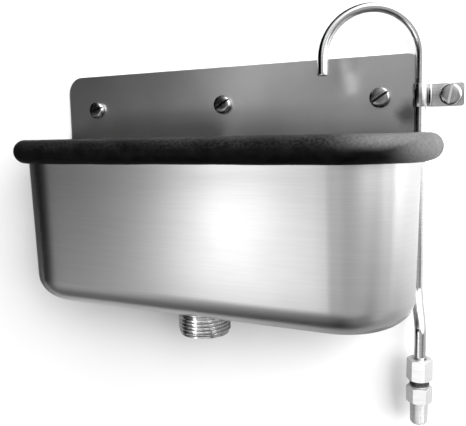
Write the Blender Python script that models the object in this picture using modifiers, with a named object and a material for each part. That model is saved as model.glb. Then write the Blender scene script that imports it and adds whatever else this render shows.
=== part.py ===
"""A wall-hung dipper well, in metres, +Z up.

A long deep-drawn basin hangs from a back plate on the wall. A rubber moulding goes round its rim, a
gooseneck spout stands behind its right-hand corner, and a lift-out overflow tube closes its drain.
The wall is the plane Y = 0, the basin stands in front of it at negative Y, and Z = 0 is the rim.
"""

import math

import bmesh
import bpy
from mathutils import Matrix, Vector

# Clearances between pieces, and how far a cutting tool runs past what it cuts
GAP = 0.0003
OVERRUN = 0.002
MERGE_DISTANCE = 0.00001
SHARP_ANGLE = math.radians(32)

# Back plate, whose length sets the basin, the screws and the tube beside it
PLATE_HALF_LENGTH = 0.127
PLATE_TOP = 0.0517
PLATE_BOTTOM = -0.045
PLATE_THICKNESS = 0.0012
PLATE_TOP_CORNER = 0.0115
PLATE_BOTTOM_CORNER = 0.006
PLATE_HOLE_CLEARANCE = 0.0005

# Basin, measured on its outer faces at the rim
BASIN_END_REACH = 0.0022
BASIN_WIDTH = 0.066
BASIN_DEPTH = 0.0988
BASIN_WALL = 0.001
BASIN_REAR_CORNER = 0.0255
BASIN_END_FLAT = 0.0005
BASIN_END_DRAFT = math.radians(1.3)
BASIN_FRONT_DRAFT = math.radians(1.8)
BASIN_FILLET_HEIGHT = 0.016
BASIN_FILLET_REACH_LONG = 0.019
BASIN_FLOOR_MARGIN = 0.00065
BASIN_LIP = 0.0004
FLANGE_WIDTH = 0.0052
FLANGE_THICKNESS = 0.001
FLANGE_SETBACK = 0.0105

# Rubber moulding round the rim
BUMPER_REACH = 0.0093
BUMPER_HEIGHT = 0.0155
BUMPER_INNER_REACH = 0.0043
BUMPER_CROWN = 0.0016
BUMPER_SETBACK = 0.0095

# Screws in the wall
SCREW_HEIGHT = 0.0279
SCREW_END_INSET = 0.0254
SCREW_HEAD_RADIUS = 0.0059
SCREW_HEAD_EDGE = 0.0009
SCREW_HEAD_HEIGHT = 0.0031
SCREW_SLOT_WIDTH = 0.0013
SCREW_SLOT_DEPTH = 0.0014
SCREW_SHANK_RADIUS = 0.0024
SCREW_ROOT_RADIUS = 0.0018
SCREW_THREAD_PITCH = 0.0028
SCREW_LENGTH = 0.0254
SCREW_POINT = 0.004
SLOT_TURNS = {
    "plate_screw_left": math.radians(18),
    "plate_screw_middle": math.radians(32),
    "plate_screw_right": math.radians(33),
    "strap_screw": math.radians(79),
}

# Spout tube
TUBE_RADIUS = 0.003175
TUBE_WALL = 0.0007
NECK_RADIUS = 0.02675
NECK_TOP = 0.0765
NECK_TURN = math.radians(19)
SPOUT_DROP = 0.0095
JOG_TOP = -0.080
JOG_BOTTOM = -0.106
JOG_RIGHT = 0.0039
JOG_FORWARD = 0.0100

# One-hole strap over the tube
STRAP_WIDTH = 0.0127
STRAP_THICKNESS = 0.0007
STRAP_BEND = 0.0009
STRAP_LEG_CLEARANCE = 0.0011
STRAP_SCREW_OFFSET = 0.0155
STRAP_TONGUE_OVERRUN = 0.007
STRAP_TONGUE_CORNER = 0.0018

# Compression nut, ferrule and inlet connector, down from the top of the nut
HEX_SIDES = 6
NUT_TOP = -0.1193
NUT_LENGTH = 0.0124
NUT_FLATS = 0.0127
NUT_TURN = math.radians(3)
NUT_SHOULDER = 0.0032
NUT_THREAD_RADIUS = 0.0055
NUT_THREAD_PITCH = 0.0011
NUT_THREAD_DEPTH = 0.0006
NUT_THREAD_SHOWN = 0.0036
FERRULE_LENGTH = 0.0058
FERRULE_RADIUS = 0.0045
FERRULE_TIP_WALL = 0.0004
SEAT_DEPTH = 0.0028
SOCKET_DEPTH = 0.009
TUBE_ENTRY = 0.0075
BODY_HEX_LENGTH = 0.0094
BODY_HEX_TURN = math.radians(11)
BODY_BORE_RADIUS = 0.0024
PIPE_THREAD_LENGTH = 0.0125
PIPE_THREAD_RADIUS = 0.0051
PIPE_THREAD_PITCH = 0.00094
PIPE_THREAD_DEPTH = 0.0007
PIPE_THREAD_TAPER_SHARE = 0.03
HEX_CHAMFER_SLOPE = math.tan(math.radians(30))

# Threaded drain nipple under the basin
DRAIN_OUTER_RADIUS = 0.0163
DRAIN_ROOT_WALL = 0.0015
DRAIN_LENGTH = 0.0151
DRAIN_PLAIN_LENGTH = 0.0022
DRAIN_THREAD_PITCH = 0.00221
DRAIN_THREAD_DEPTH = 0.0017
DRAIN_END_CHAMFER = 0.0012

# Overflow tube, its plug and its seal, sized to the drain's bore
OVERFLOW_TOP = -0.016
OVERFLOW_INSET = 0.0013
OVERFLOW_WALL = 0.0009
NOTCH_WIDTH = 0.005
NOTCH_DEPTH = 0.012
SEAL_THICKNESS = 0.002
SEAL_EDGE = 0.0008
PLUG_COLLAR_REACH = 0.0026
PLUG_COLLAR_HEIGHT = 0.005
PLUG_COLLAR_CHAMFER = 0.0008
PLUG_SPIGOT_CLEARANCE = 0.0007
PLUG_SPIGOT_LENGTH = 0.0125
PLUG_LEAD_IN = 0.0025
PLUG_LEAD_IN_STEP = 0.0012
PLUG_LEDGE = 0.0007
PLUG_SOCKET_DEPTH = 0.007

# How finely round shapes are divided
ROUND_STEPS = 28
FINE_STEPS = 32
SCREW_STEPS = 16
CORNER_STEPS = 8
SMALL_CORNER_STEPS = 5
LONG_SIDE_STEPS = 4
FILLET_STEPS = 5
DOME_STEPS = 4
NECK_STEPS = 18
JOG_STEPS = 8
LOOP_STEPS = 10
BEND_STEPS = 3
TUBE_SIDES_RESOLUTION = 4
SECTION_STEPS = 7
ROUND_BEVEL_SHARE = 0.5

# Places worked out from the sizes above
SCREW_SPACING = PLATE_HALF_LENGTH - SCREW_END_INSET
BASIN_HALF_LENGTH = PLATE_HALF_LENGTH + BASIN_END_REACH
BASIN_FRONT_CORNER = BASIN_WIDTH - BASIN_REAR_CORNER - BASIN_END_FLAT
PLATE_FRONT = -PLATE_THICKNESS
BASIN_BACK = PLATE_FRONT - GAP
BASIN_FRONT = BASIN_BACK - BASIN_WIDTH
BASIN_FLOOR = -BASIN_DEPTH + BASIN_WALL
SNUG_RADIUS = TUBE_RADIUS + GAP
TUBE_X = PLATE_HALF_LENGTH + STRAP_LEG_CLEARANCE - SNUG_RADIUS
TUBE_Y = PLATE_FRONT - GAP - TUBE_RADIUS
STRAP_SCREW_X = TUBE_X + STRAP_SCREW_OFFSET
STRAP_TONGUE_END = STRAP_SCREW_X + STRAP_TONGUE_OVERRUN
FITTING_X = TUBE_X + JOG_RIGHT
FITTING_Y = TUBE_Y - JOG_FORWARD
NUT_BOTTOM = NUT_TOP - NUT_LENGTH
CONNECTOR_TOP = NUT_TOP - NUT_SHOULDER - FERRULE_LENGTH + SEAT_DEPTH - GAP
BODY_HEX_TOP = NUT_BOTTOM - NUT_THREAD_SHOWN
BODY_HEX_BOTTOM = BODY_HEX_TOP - BODY_HEX_LENGTH
CONNECTOR_BOTTOM = BODY_HEX_BOTTOM - PIPE_THREAD_LENGTH
BASIN_FLOOR_FRONT = BASIN_FRONT + BASIN_DEPTH * math.tan(BASIN_FRONT_DRAFT)
DRAIN_Y = (BASIN_BACK + BASIN_FLOOR_FRONT) / 2
DRAIN_TOP = -BASIN_DEPTH - GAP
DRAIN_BORE_RADIUS = DRAIN_OUTER_RADIUS - DRAIN_THREAD_DEPTH - DRAIN_ROOT_WALL
DRAIN_HOLE_RADIUS = DRAIN_BORE_RADIUS + GAP
PLUG_SPIGOT_RADIUS = DRAIN_BORE_RADIUS - PLUG_SPIGOT_CLEARANCE
PLUG_COLLAR_RADIUS = DRAIN_HOLE_RADIUS + PLUG_COLLAR_REACH
SEAL_RADIUS = PLUG_COLLAR_RADIUS + SEAL_EDGE
BASIN_FILLET_REACH_CROSS = BASIN_BACK - DRAIN_Y - SEAL_RADIUS - BASIN_FLOOR_MARGIN
OVERFLOW_RADIUS = PLUG_SPIGOT_RADIUS - OVERFLOW_INSET
PLUG_BORE_RADIUS = OVERFLOW_RADIUS - OVERFLOW_WALL - PLUG_LEDGE
SEAL_BOTTOM = BASIN_FLOOR + GAP
COLLAR_BOTTOM = SEAL_BOTTOM + SEAL_THICKNESS + GAP
COLLAR_TOP = COLLAR_BOTTOM + PLUG_COLLAR_HEIGHT


def clear_scene():
    for obj in list(bpy.data.objects):
        bpy.data.objects.remove(obj, do_unlink=True)


def collection(name):
    made = bpy.data.collections.new(name)
    bpy.context.scene.collection.children.link(made)
    return made


def material(name, colour, roughness, metallic):
    made = bpy.data.materials.new(name)
    made.use_nodes = True
    shader = made.node_tree.nodes["Principled BSDF"]
    shader.inputs["Base Color"].default_value = (*colour, 1)
    shader.inputs["Roughness"].default_value = roughness
    shader.inputs["Metallic"].default_value = metallic
    made.diffuse_color = (*colour, 1)
    return made


def add_part(obj, finish):
    """Put a finished piece in the object's collection, shaded smooth up to its sharp edges."""
    PARTS.objects.link(obj)
    obj.data.materials.clear()
    obj.data.materials.append(finish)
    obj.data.shade_smooth()
    obj.data.set_sharp_from_angle(angle=SHARP_ANGLE)
    return obj


def add_tool(obj):
    """Put a shape that only cuts or joins in the tools' collection, hidden from renders."""
    TOOLS.objects.link(obj)
    obj.hide_render = True
    obj.display_type = "WIRE"
    return obj


def plain_mesh(obj, name):
    """The object as its modifiers or its curve make it, as one plain mesh with welded seams."""
    TOOLS.objects.link(obj)
    bpy.context.view_layer.update()
    graph = bpy.context.evaluated_depsgraph_get()
    mesh = bpy.data.meshes.new_from_object(obj.evaluated_get(graph))
    work = bmesh.new()
    work.from_mesh(mesh)
    bmesh.ops.remove_doubles(work, verts=work.verts, dist=MERGE_DISTANCE)
    work.to_mesh(mesh)
    work.free()
    matrix = obj.matrix_world.copy()
    bpy.data.objects.remove(obj, do_unlink=True)
    made = bpy.data.objects.new(name, mesh)
    made.name = name
    mesh.name = name
    made.matrix_world = matrix
    return made


def combined(obj, steps):
    """The object after a list of (operation, tool) Booleans, as one plain mesh."""
    for operation, tool in steps:
        boolean = obj.modifiers.new(operation.title(), "BOOLEAN")
        boolean.operation = operation
        boolean.solver = "EXACT"
        boolean.object = add_tool(tool)
    made = plain_mesh(obj, obj.name)
    for _, tool in steps:
        bpy.data.objects.remove(tool, do_unlink=True)
    return made


def turned(name, profile, place, ring=False, steps=ROUND_STEPS):
    """Turn (radius, height) points round the upright axis at place. A ring's profile is a closed loop."""
    count = len(profile)
    edges = [(i, i + 1) for i in range(count - 1)]
    if ring:
        edges.append((count - 1, 0))
    mesh = bpy.data.meshes.new(name)
    mesh.from_pydata([(radius, 0, height) for radius, height in profile], edges, [])
    obj = bpy.data.objects.new(name, mesh)
    obj.location = place
    turn = obj.modifiers.new("Turn", "SCREW")
    turn.axis = "Z"
    turn.angle = math.tau
    turn.steps = steps
    turn.render_steps = steps
    turn.use_merge_vertices = True
    turn.merge_threshold = MERGE_DISTANCE
    return plain_mesh(obj, name)


def box(name, size, matrix):
    """A block of the given size, centred where the matrix puts it."""
    work = bmesh.new()
    bmesh.ops.create_cube(work, size=1)
    bmesh.ops.scale(work, vec=size, verts=work.verts)
    mesh = bpy.data.meshes.new(name)
    work.to_mesh(mesh)
    work.free()
    obj = bpy.data.objects.new(name, mesh)
    obj.matrix_world = matrix
    return obj


def path_curve(name, points, cyclic=False, flat=False):
    """A curve object of one straight-sided spline through the points."""
    curve = bpy.data.curves.new(name, "CURVE")
    curve.dimensions = "2D" if flat else "3D"
    spline = curve.splines.new("POLY")
    spline.points.add(len(points) - 1)
    for knot, point in zip(spline.points, points):
        knot.co = (*Vector(point).to_3d(), 1)
    spline.use_cyclic_u = cyclic
    return bpy.data.objects.new(name, curve)


def flat_shape(name, loops, thickness, matrix):
    """A flat sheet from closed outlines, holes among them, centred on its own middle plane."""
    obj = path_curve(name, loops[0], cyclic=True, flat=True)
    for loop in loops[1:]:
        spline = obj.data.splines.new("POLY")
        spline.points.add(len(loop) - 1)
        for knot, point in zip(spline.points, loop):
            knot.co = (*Vector(point).to_3d(), 1)
        spline.use_cyclic_u = True
    obj.data.fill_mode = "BOTH"
    obj.data.extrude = thickness / 2
    obj.matrix_world = matrix
    return plain_mesh(obj, name)


def arc(centre, radius, start, end, steps):
    """Points on a flat arc about centre, from one angle to another."""
    angles = [start + (end - start) * i / steps for i in range(steps + 1)]
    return [
        Vector((centre[0] + radius * math.cos(a), centre[1] + radius * math.sin(a))) for a in angles
    ]


def basin_outline(half_length, front, back, front_radius, rear_radius):
    """A rounded rectangle, clockwise from above, beginning at the rear right-hand corner.

    Every outline has the same count of points in the same order, so outlines can be joined in rings.
    """
    quarter = math.pi / 2
    corners = [
        ((half_length - rear_radius, back - rear_radius), rear_radius, quarter),
        ((half_length - front_radius, front + front_radius), front_radius, 0),
        ((front_radius - half_length, front + front_radius), front_radius, -quarter),
        ((rear_radius - half_length, back - rear_radius), rear_radius, -math.pi),
    ]
    points = []
    for number, (centre, radius, start) in enumerate(corners):
        points.extend(arc(centre, radius, start, start - quarter, CORNER_STEPS))
        if number in (1, 3):
            following = corners[(number + 1) % len(corners)]
            last = points[-1]
            first = Vector(following[0]) + Vector((0, math.copysign(following[1], number - 2)))
            for i in range(1, LONG_SIDE_STEPS):
                points.append(last.lerp(first, i / LONG_SIDE_STEPS))
    return points


def basin_ring(depth, long_inset=0, cross_inset=0):
    """The basin's outer outline at a depth below the rim, drawn in by the bottom fillet's insets."""
    end_draw = depth * math.tan(BASIN_END_DRAFT)
    front_draw = depth * math.tan(BASIN_FRONT_DRAFT)
    corner_draw = (end_draw + front_draw) / 2 + (long_inset + cross_inset) / 2
    return basin_outline(
        BASIN_HALF_LENGTH - end_draw - long_inset,
        BASIN_FRONT + front_draw + cross_inset,
        BASIN_BACK - cross_inset,
        BASIN_FRONT_CORNER - corner_draw,
        BASIN_REAR_CORNER - (long_inset + cross_inset) / 2,
    )


def basin_shell():
    """The drawn bowl: rings of outline points from the rim down to the drain hole, thickened inwards."""
    rings = [[(*point, BASIN_LIP) for point in basin_ring(0)]]
    wall_depth = BASIN_DEPTH - BASIN_FILLET_HEIGHT
    for i in range(FILLET_STEPS + 1):
        angle = math.pi / 2 * i / FILLET_STEPS
        depth = wall_depth + BASIN_FILLET_HEIGHT * math.sin(angle)
        long_inset = BASIN_FILLET_REACH_LONG * (1 - math.cos(angle))
        cross_inset = BASIN_FILLET_REACH_CROSS * (1 - math.cos(angle))
        rings.append([(*point, -depth) for point in basin_ring(depth, long_inset, cross_inset)])
    count = len(rings[0])
    hole = []
    for i in range(count):
        angle = math.tau * (CORNER_STEPS + 0.5 - i) / count
        hole.append(
            (
                DRAIN_HOLE_RADIUS * math.cos(angle),
                DRAIN_Y + DRAIN_HOLE_RADIUS * math.sin(angle),
                -BASIN_DEPTH,
            )
        )
    rings.append(hole)
    work = bmesh.new()
    rows = [[work.verts.new(point) for point in ring] for ring in rings]
    for upper, lower in zip(rows, rows[1:]):
        for i in range(count):
            j = (i + 1) % count
            work.faces.new((upper[i], upper[j], lower[j], lower[i]))
    mesh = bpy.data.meshes.new("basin")
    work.to_mesh(mesh)
    work.free()
    obj = bpy.data.objects.new("basin", mesh)
    thicken = obj.modifiers.new("Sheet", "SOLIDIFY")
    thicken.thickness = BASIN_WALL
    thicken.offset = -1
    thicken.use_even_offset = True
    return plain_mesh(obj, "basin")


def rim_path(offset, rear_end):
    """The rim's line round the front and both ends, moved outwards by offset, left end first."""
    radius = BASIN_FRONT_CORNER + offset
    half = BASIN_HALF_LENGTH + offset
    front = BASIN_FRONT - offset
    quarter = math.pi / 2
    left = arc((radius - half, front + radius), radius, -math.pi, -quarter, CORNER_STEPS)
    right = arc((half - radius, front + radius), radius, -quarter, 0, CORNER_STEPS)
    return [Vector((-half, rear_end)), *left, *right, Vector((half, rear_end))]


def rim_flange():
    """The flat flange that the moulding grips. It stops short of the plate, square across at each end."""
    middle = BASIN_WALL / 2
    corner_x = BASIN_HALF_LENGTH - BASIN_REAR_CORNER
    corner_y = BASIN_BACK - BASIN_REAR_CORNER
    radius = BASIN_REAR_CORNER - middle
    stop = math.asin((corner_y + FLANGE_SETBACK) / -radius)
    right_corner = arc((corner_x, corner_y), radius, stop, 0, SMALL_CORNER_STEPS)
    left_corner = [Vector((-point.x, point.y)) for point in reversed(right_corner)]
    inner = [*left_corner, *rim_path(-middle, corner_y)[1:-1], *reversed(right_corner)]
    outline = [*rim_path(FLANGE_WIDTH, -FLANGE_SETBACK), *reversed(inner)]
    matrix = Matrix.Translation((0, 0, -FLANGE_THICKNESS / 2))
    return flat_shape("rim_flange", [outline], FLANGE_THICKNESS, matrix)


def make_basin():
    add_part(combined(basin_shell(), [("UNION", rim_flange())]), STEEL)


def make_back_plate():
    half = PLATE_HALF_LENGTH
    quarter = math.pi / 2
    upper = PLATE_TOP_CORNER
    lower = PLATE_BOTTOM_CORNER
    corners = [
        ((half - upper, PLATE_TOP - upper), upper, 0),
        ((upper - half, PLATE_TOP - upper), upper, quarter),
        ((lower - half, PLATE_BOTTOM + lower), lower, math.pi),
        ((half - lower, PLATE_BOTTOM + lower), lower, 3 * quarter),
    ]
    outline = []
    for centre, radius, start in corners:
        outline.extend(arc(centre, radius, start, start + quarter, SMALL_CORNER_STEPS))
    hole_radius = SCREW_SHANK_RADIUS + PLATE_HOLE_CLEARANCE
    loops = [outline]
    for x in (-SCREW_SPACING, 0, SCREW_SPACING):
        loops.append(arc((x, SCREW_HEIGHT), hole_radius, 0, math.tau, SCREW_STEPS)[:-1])
    upright = Matrix.Translation((0, PLATE_FRONT / 2, 0)) @ Matrix.Rotation(quarter, 4, "X")
    add_part(flat_shape("back_plate", loops, PLATE_THICKNESS, upright), PLATE_STEEL)


def bumper_section():
    """The moulding's section: x outwards from the basin's outer face, y up, with a slot for the flange."""
    half_height = BUMPER_HEIGHT / 2
    quarter = math.pi / 2
    slot_end = FLANGE_WIDTH + GAP
    slot_top = BASIN_LIP + GAP
    slot_bottom = -FLANGE_THICKNESS - GAP
    outer_reach = BUMPER_REACH - BUMPER_CROWN
    inner_reach = BUMPER_INNER_REACH + BUMPER_CROWN
    inner_low = BUMPER_CROWN - GAP
    points = [Vector((slot_end, slot_top)), Vector((-BUMPER_INNER_REACH, slot_top))]
    for i in range(1, SECTION_STEPS + 1):
        angle = math.pi - quarter * i / SECTION_STEPS
        rise = slot_top + (half_height - slot_top) * math.sin(angle)
        points.append(Vector((BUMPER_CROWN + inner_reach * math.cos(angle), rise)))
    for i in range(1, 2 * SECTION_STEPS + 1):
        angle = quarter - quarter * i / SECTION_STEPS
        reach = BUMPER_CROWN + outer_reach * math.cos(angle)
        points.append(Vector((reach, half_height * math.sin(angle))))
    for i in range(1, BEND_STEPS + 1):
        angle = -quarter - quarter * i / BEND_STEPS
        drop = -half_height + inner_low * (1 + math.sin(angle))
        points.append(Vector((BUMPER_CROWN + inner_low * math.cos(angle), drop)))
    points.append(Vector((GAP, slot_bottom)))
    points.append(Vector((slot_end, slot_bottom)))
    return points


def make_bumper():
    section = path_curve("moulding_section", bumper_section(), cyclic=True, flat=True)
    add_tool(section)
    sweep = path_curve("rim_bumper", rim_path(0, -BUMPER_SETBACK))
    sweep.data.twist_mode = "Z_UP"
    sweep.data.bevel_mode = "OBJECT"
    sweep.data.bevel_object = section
    sweep.data.use_fill_caps = True
    moulding = plain_mesh(sweep, "rim_bumper")
    bpy.data.objects.remove(section, do_unlink=True)
    add_part(moulding, RUBBER)


def ridges(top, bottom, crest, pitch, depth, taper=0):
    """(radius, height) points of thread crests and roots, from top to bottom."""
    count = max(1, round((top - bottom) / pitch))
    step = (top - bottom) / count
    points = [(crest - depth, top)]
    for i in range(count):
        narrowing = taper * (i + 1) * step
        points.append((crest - narrowing, top - step * (i + 0.5)))
        points.append((crest - depth - narrowing, top - step * (i + 1)))
    return points


def make_screw(name, x, seat):
    """A slotted pan-head wood screw, its head's underside at seat, its axis square to the wall."""
    crown = SCREW_HEAD_HEIGHT - SCREW_HEAD_EDGE
    profile = []
    for i in range(DOME_STEPS + 1):
        angle = math.pi / 2 * i / DOME_STEPS
        profile.append(
            (SCREW_HEAD_RADIUS * math.sin(angle), SCREW_HEAD_EDGE + crown * math.cos(angle))
        )
    profile.append((SCREW_HEAD_RADIUS, 0))
    thread_end = SCREW_POINT - SCREW_LENGTH
    thread_top = -SCREW_HEAD_RADIUS
    depth = SCREW_SHANK_RADIUS - SCREW_ROOT_RADIUS
    profile.append((SCREW_SHANK_RADIUS, 0))
    profile.append((SCREW_SHANK_RADIUS, thread_top + depth))
    profile.extend(ridges(thread_top, thread_end, SCREW_SHANK_RADIUS, SCREW_THREAD_PITCH, depth))
    profile.append((0, -SCREW_LENGTH))
    screw = turned(name, profile, (0, 0, 0), steps=SCREW_STEPS)
    matrix = Matrix.Translation((x, seat, SCREW_HEIGHT)) @ Matrix.Rotation(math.pi / 2, 4, "X")
    screw.matrix_world = matrix
    slot_size = (2 * SCREW_HEAD_RADIUS + OVERRUN, SCREW_SLOT_WIDTH, SCREW_SLOT_DEPTH + OVERRUN)
    slot_place = Matrix.Translation((0, 0, SCREW_HEAD_HEIGHT + (OVERRUN - SCREW_SLOT_DEPTH) / 2))
    slot_turn = Matrix.Rotation(SLOT_TURNS[name], 4, "Z")
    slot = box("slot_tool", slot_size, matrix @ slot_turn @ slot_place)
    add_part(combined(screw, [("DIFFERENCE", slot)]), BRIGHT_STEEL)


def spout_route():
    """The tube's centre line from the spout's tip, over the neck and down to the inlet connector."""
    towards_spout = Vector((-math.cos(NECK_TURN), -math.sin(NECK_TURN), 0))
    foot = Vector((TUBE_X, TUBE_Y, NECK_TOP - NECK_RADIUS))
    centre = foot + towards_spout * NECK_RADIUS
    points = [centre + towards_spout * NECK_RADIUS - Vector((0, 0, SPOUT_DROP))]
    for i in range(NECK_STEPS + 1):
        angle = math.pi * i / NECK_STEPS
        across = towards_spout * (NECK_RADIUS * math.cos(angle))
        points.append(centre + across + Vector((0, 0, NECK_RADIUS * math.sin(angle))))
    for i in range(JOG_STEPS + 1):
        share = i / JOG_STEPS
        ease = (1 - math.cos(math.pi * share)) / 2
        points.append(
            Vector(
                (
                    TUBE_X + JOG_RIGHT * ease,
                    TUBE_Y - JOG_FORWARD * ease,
                    JOG_TOP + (JOG_BOTTOM - JOG_TOP) * share,
                )
            )
        )
    points.append(Vector((FITTING_X, FITTING_Y, CONNECTOR_TOP - TUBE_ENTRY)))
    return points


def make_spout_tube():
    bar = path_curve("spout_tube", spout_route())
    bar.data.bevel_depth = TUBE_RADIUS
    bar.data.bevel_resolution = TUBE_SIDES_RESOLUTION
    tube = plain_mesh(bar, "spout_tube")
    wall = tube.modifiers.new("Wall", "SOLIDIFY")
    wall.thickness = TUBE_WALL
    wall.offset = -1
    wall.use_even_offset = True
    add_part(plain_mesh(tube, "spout_tube"), BRIGHT_STEEL)


def make_strap():
    """A strip bent over the tube from the plate to the wall, with a tongue that lies on the wall."""
    leg_x = TUBE_X + SNUG_RADIUS
    line = [Vector((TUBE_X - SNUG_RADIUS, PLATE_FRONT - GAP))]
    line.extend(arc((TUBE_X, TUBE_Y), SNUG_RADIUS, -math.pi, 0, LOOP_STEPS))
    bend_centre = (leg_x + STRAP_BEND, -STRAP_BEND)
    line.extend(arc(bend_centre, STRAP_BEND, math.pi, math.pi / 2, BEND_STEPS))
    line.append(Vector((STRAP_TONGUE_END, 0)))
    low = SCREW_HEIGHT - STRAP_WIDTH / 2
    high = SCREW_HEIGHT + STRAP_WIDTH / 2
    work = bmesh.new()
    lower = [work.verts.new((*point, low)) for point in line]
    upper = [work.verts.new((*point, high)) for point in line]
    for i in range(len(line) - 1):
        work.faces.new((lower[i], lower[i + 1], upper[i + 1], upper[i]))
    bmesh.ops.bevel(
        work,
        geom=[lower[-1], upper[-1]],
        affect="VERTICES",
        offset=STRAP_TONGUE_CORNER,
        segments=BEND_STEPS,
        profile=ROUND_BEVEL_SHARE,
    )
    mesh = bpy.data.meshes.new("tube_strap")
    work.to_mesh(mesh)
    work.free()
    strip = bpy.data.objects.new("tube_strap", mesh)
    thicken = strip.modifiers.new("Sheet", "SOLIDIFY")
    thicken.thickness = STRAP_THICKNESS
    thicken.offset = 1
    thicken.use_even_offset = True
    hole_radius = SCREW_SHANK_RADIUS + PLATE_HOLE_CLEARANCE
    reach = STRAP_THICKNESS + OVERRUN
    hole_profile = [(0, reach), (hole_radius, reach), (hole_radius, -reach), (0, -reach)]
    hole = turned("hole_tool", hole_profile, (0, 0, 0), steps=SCREW_STEPS)
    upright = Matrix.Rotation(math.pi / 2, 4, "X")
    hole.matrix_world = Matrix.Translation((STRAP_SCREW_X, 0, SCREW_HEIGHT)) @ upright
    add_part(combined(plain_mesh(strip, "tube_strap"), [("DIFFERENCE", hole)]), BRIGHT_STEEL)


def hexagon(name, top, bottom, turn):
    """A chamfered hexagonal bar about the fitting's axis, as wide across flats as the nut."""
    flat_radius = NUT_FLATS / 2
    corner_radius = flat_radius / math.cos(math.pi / HEX_SIDES)
    corners = arc((0, 0), corner_radius, 0, math.tau, HEX_SIDES)[:-1]
    place = Matrix.Translation((FITTING_X, FITTING_Y, (top + bottom) / 2))
    bar = flat_shape(name, [corners], top - bottom, place @ Matrix.Rotation(turn, 4, "Z"))
    outer_radius = corner_radius + OVERRUN
    drop = (outer_radius - flat_radius) * HEX_CHAMFER_SLOPE
    profile = [
        (0, top),
        (flat_radius, top),
        (outer_radius, top - drop),
        (outer_radius, bottom + drop),
        (flat_radius, bottom),
        (0, bottom),
    ]
    rounding = turned("chamfer_tool", profile, (FITTING_X, FITTING_Y, 0))
    return combined(bar, [("INTERSECT", rounding)])


def make_nut():
    shoulder = NUT_TOP - NUT_SHOULDER
    thread_radius = NUT_THREAD_RADIUS + GAP
    profile = [
        (0, NUT_TOP + OVERRUN),
        (SNUG_RADIUS, NUT_TOP + OVERRUN),
        (SNUG_RADIUS, shoulder),
        (thread_radius, shoulder),
        (thread_radius, NUT_BOTTOM - OVERRUN),
        (0, NUT_BOTTOM - OVERRUN),
    ]
    cavity = turned("cavity_tool", profile, (FITTING_X, FITTING_Y, 0))
    nut = hexagon("compression_nut", NUT_TOP, NUT_BOTTOM, NUT_TURN)
    add_part(combined(nut, [("DIFFERENCE", cavity)]), BRIGHT_STEEL)


def make_ferrule():
    inner = SNUG_RADIUS
    top = NUT_TOP - NUT_SHOULDER - GAP
    bottom = top - FERRULE_LENGTH
    profile = [
        (FERRULE_RADIUS, top),
        (FERRULE_RADIUS, bottom + SEAT_DEPTH),
        (inner + FERRULE_TIP_WALL, bottom),
        (inner, bottom),
        (inner, top),
    ]
    ring = turned("compression_ferrule", profile, (FITTING_X, FITTING_Y, 0), ring=True)
    add_part(ring, BRASS)


def make_connector():
    """A hexagon with a compression thread above it and a pipe thread below it, bored for the tube."""
    thread_bottom = BODY_HEX_TOP - OVERRUN
    overlap_bottom = BODY_HEX_BOTTOM + OVERRUN
    upper = ridges(
        CONNECTOR_TOP, thread_bottom, NUT_THREAD_RADIUS, NUT_THREAD_PITCH, NUT_THREAD_DEPTH
    )
    lower = ridges(
        overlap_bottom,
        CONNECTOR_BOTTOM,
        PIPE_THREAD_RADIUS,
        PIPE_THREAD_PITCH,
        PIPE_THREAD_DEPTH,
        PIPE_THREAD_TAPER_SHARE,
    )
    profile = [(0, CONNECTOR_TOP), *upper, *lower, (0, CONNECTOR_BOTTOM)]
    threads = turned("threads_tool", profile, (FITTING_X, FITTING_Y, 0))
    seat_radius = FERRULE_RADIUS + GAP
    seat_bottom = CONNECTOR_TOP - SEAT_DEPTH - GAP
    socket_bottom = CONNECTOR_TOP - SOCKET_DEPTH
    profile = [
        (0, CONNECTOR_TOP + OVERRUN),
        (seat_radius, CONNECTOR_TOP + OVERRUN),
        (seat_radius, CONNECTOR_TOP),
        (SNUG_RADIUS + FERRULE_TIP_WALL + GAP, seat_bottom),
        (SNUG_RADIUS, seat_bottom),
        (SNUG_RADIUS, socket_bottom),
        (BODY_BORE_RADIUS, socket_bottom),
        (BODY_BORE_RADIUS, CONNECTOR_BOTTOM - OVERRUN),
        (0, CONNECTOR_BOTTOM - OVERRUN),
    ]
    bore = turned("bore_tool", profile, (FITTING_X, FITTING_Y, 0))
    body = hexagon("inlet_connector", BODY_HEX_TOP, BODY_HEX_BOTTOM, BODY_HEX_TURN)
    add_part(combined(body, [("UNION", threads), ("DIFFERENCE", bore)]), BRIGHT_STEEL)


def make_drain_nipple():
    bottom = DRAIN_TOP - DRAIN_LENGTH
    thread_top = DRAIN_TOP - DRAIN_PLAIN_LENGTH
    thread_bottom = bottom + DRAIN_END_CHAMFER
    thread = ridges(
        thread_top, thread_bottom, DRAIN_OUTER_RADIUS, DRAIN_THREAD_PITCH, DRAIN_THREAD_DEPTH
    )
    root = DRAIN_OUTER_RADIUS - DRAIN_THREAD_DEPTH
    profile = [
        (DRAIN_OUTER_RADIUS, DRAIN_TOP),
        (DRAIN_OUTER_RADIUS, thread_top + DRAIN_THREAD_DEPTH),
        *thread,
        (root, bottom),
        (DRAIN_BORE_RADIUS, bottom),
        (DRAIN_BORE_RADIUS, DRAIN_TOP),
    ]
    nipple = turned("drain_nipple", profile, (0, DRAIN_Y, 0), ring=True, steps=FINE_STEPS)
    add_part(nipple, BRIGHT_STEEL)


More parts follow.
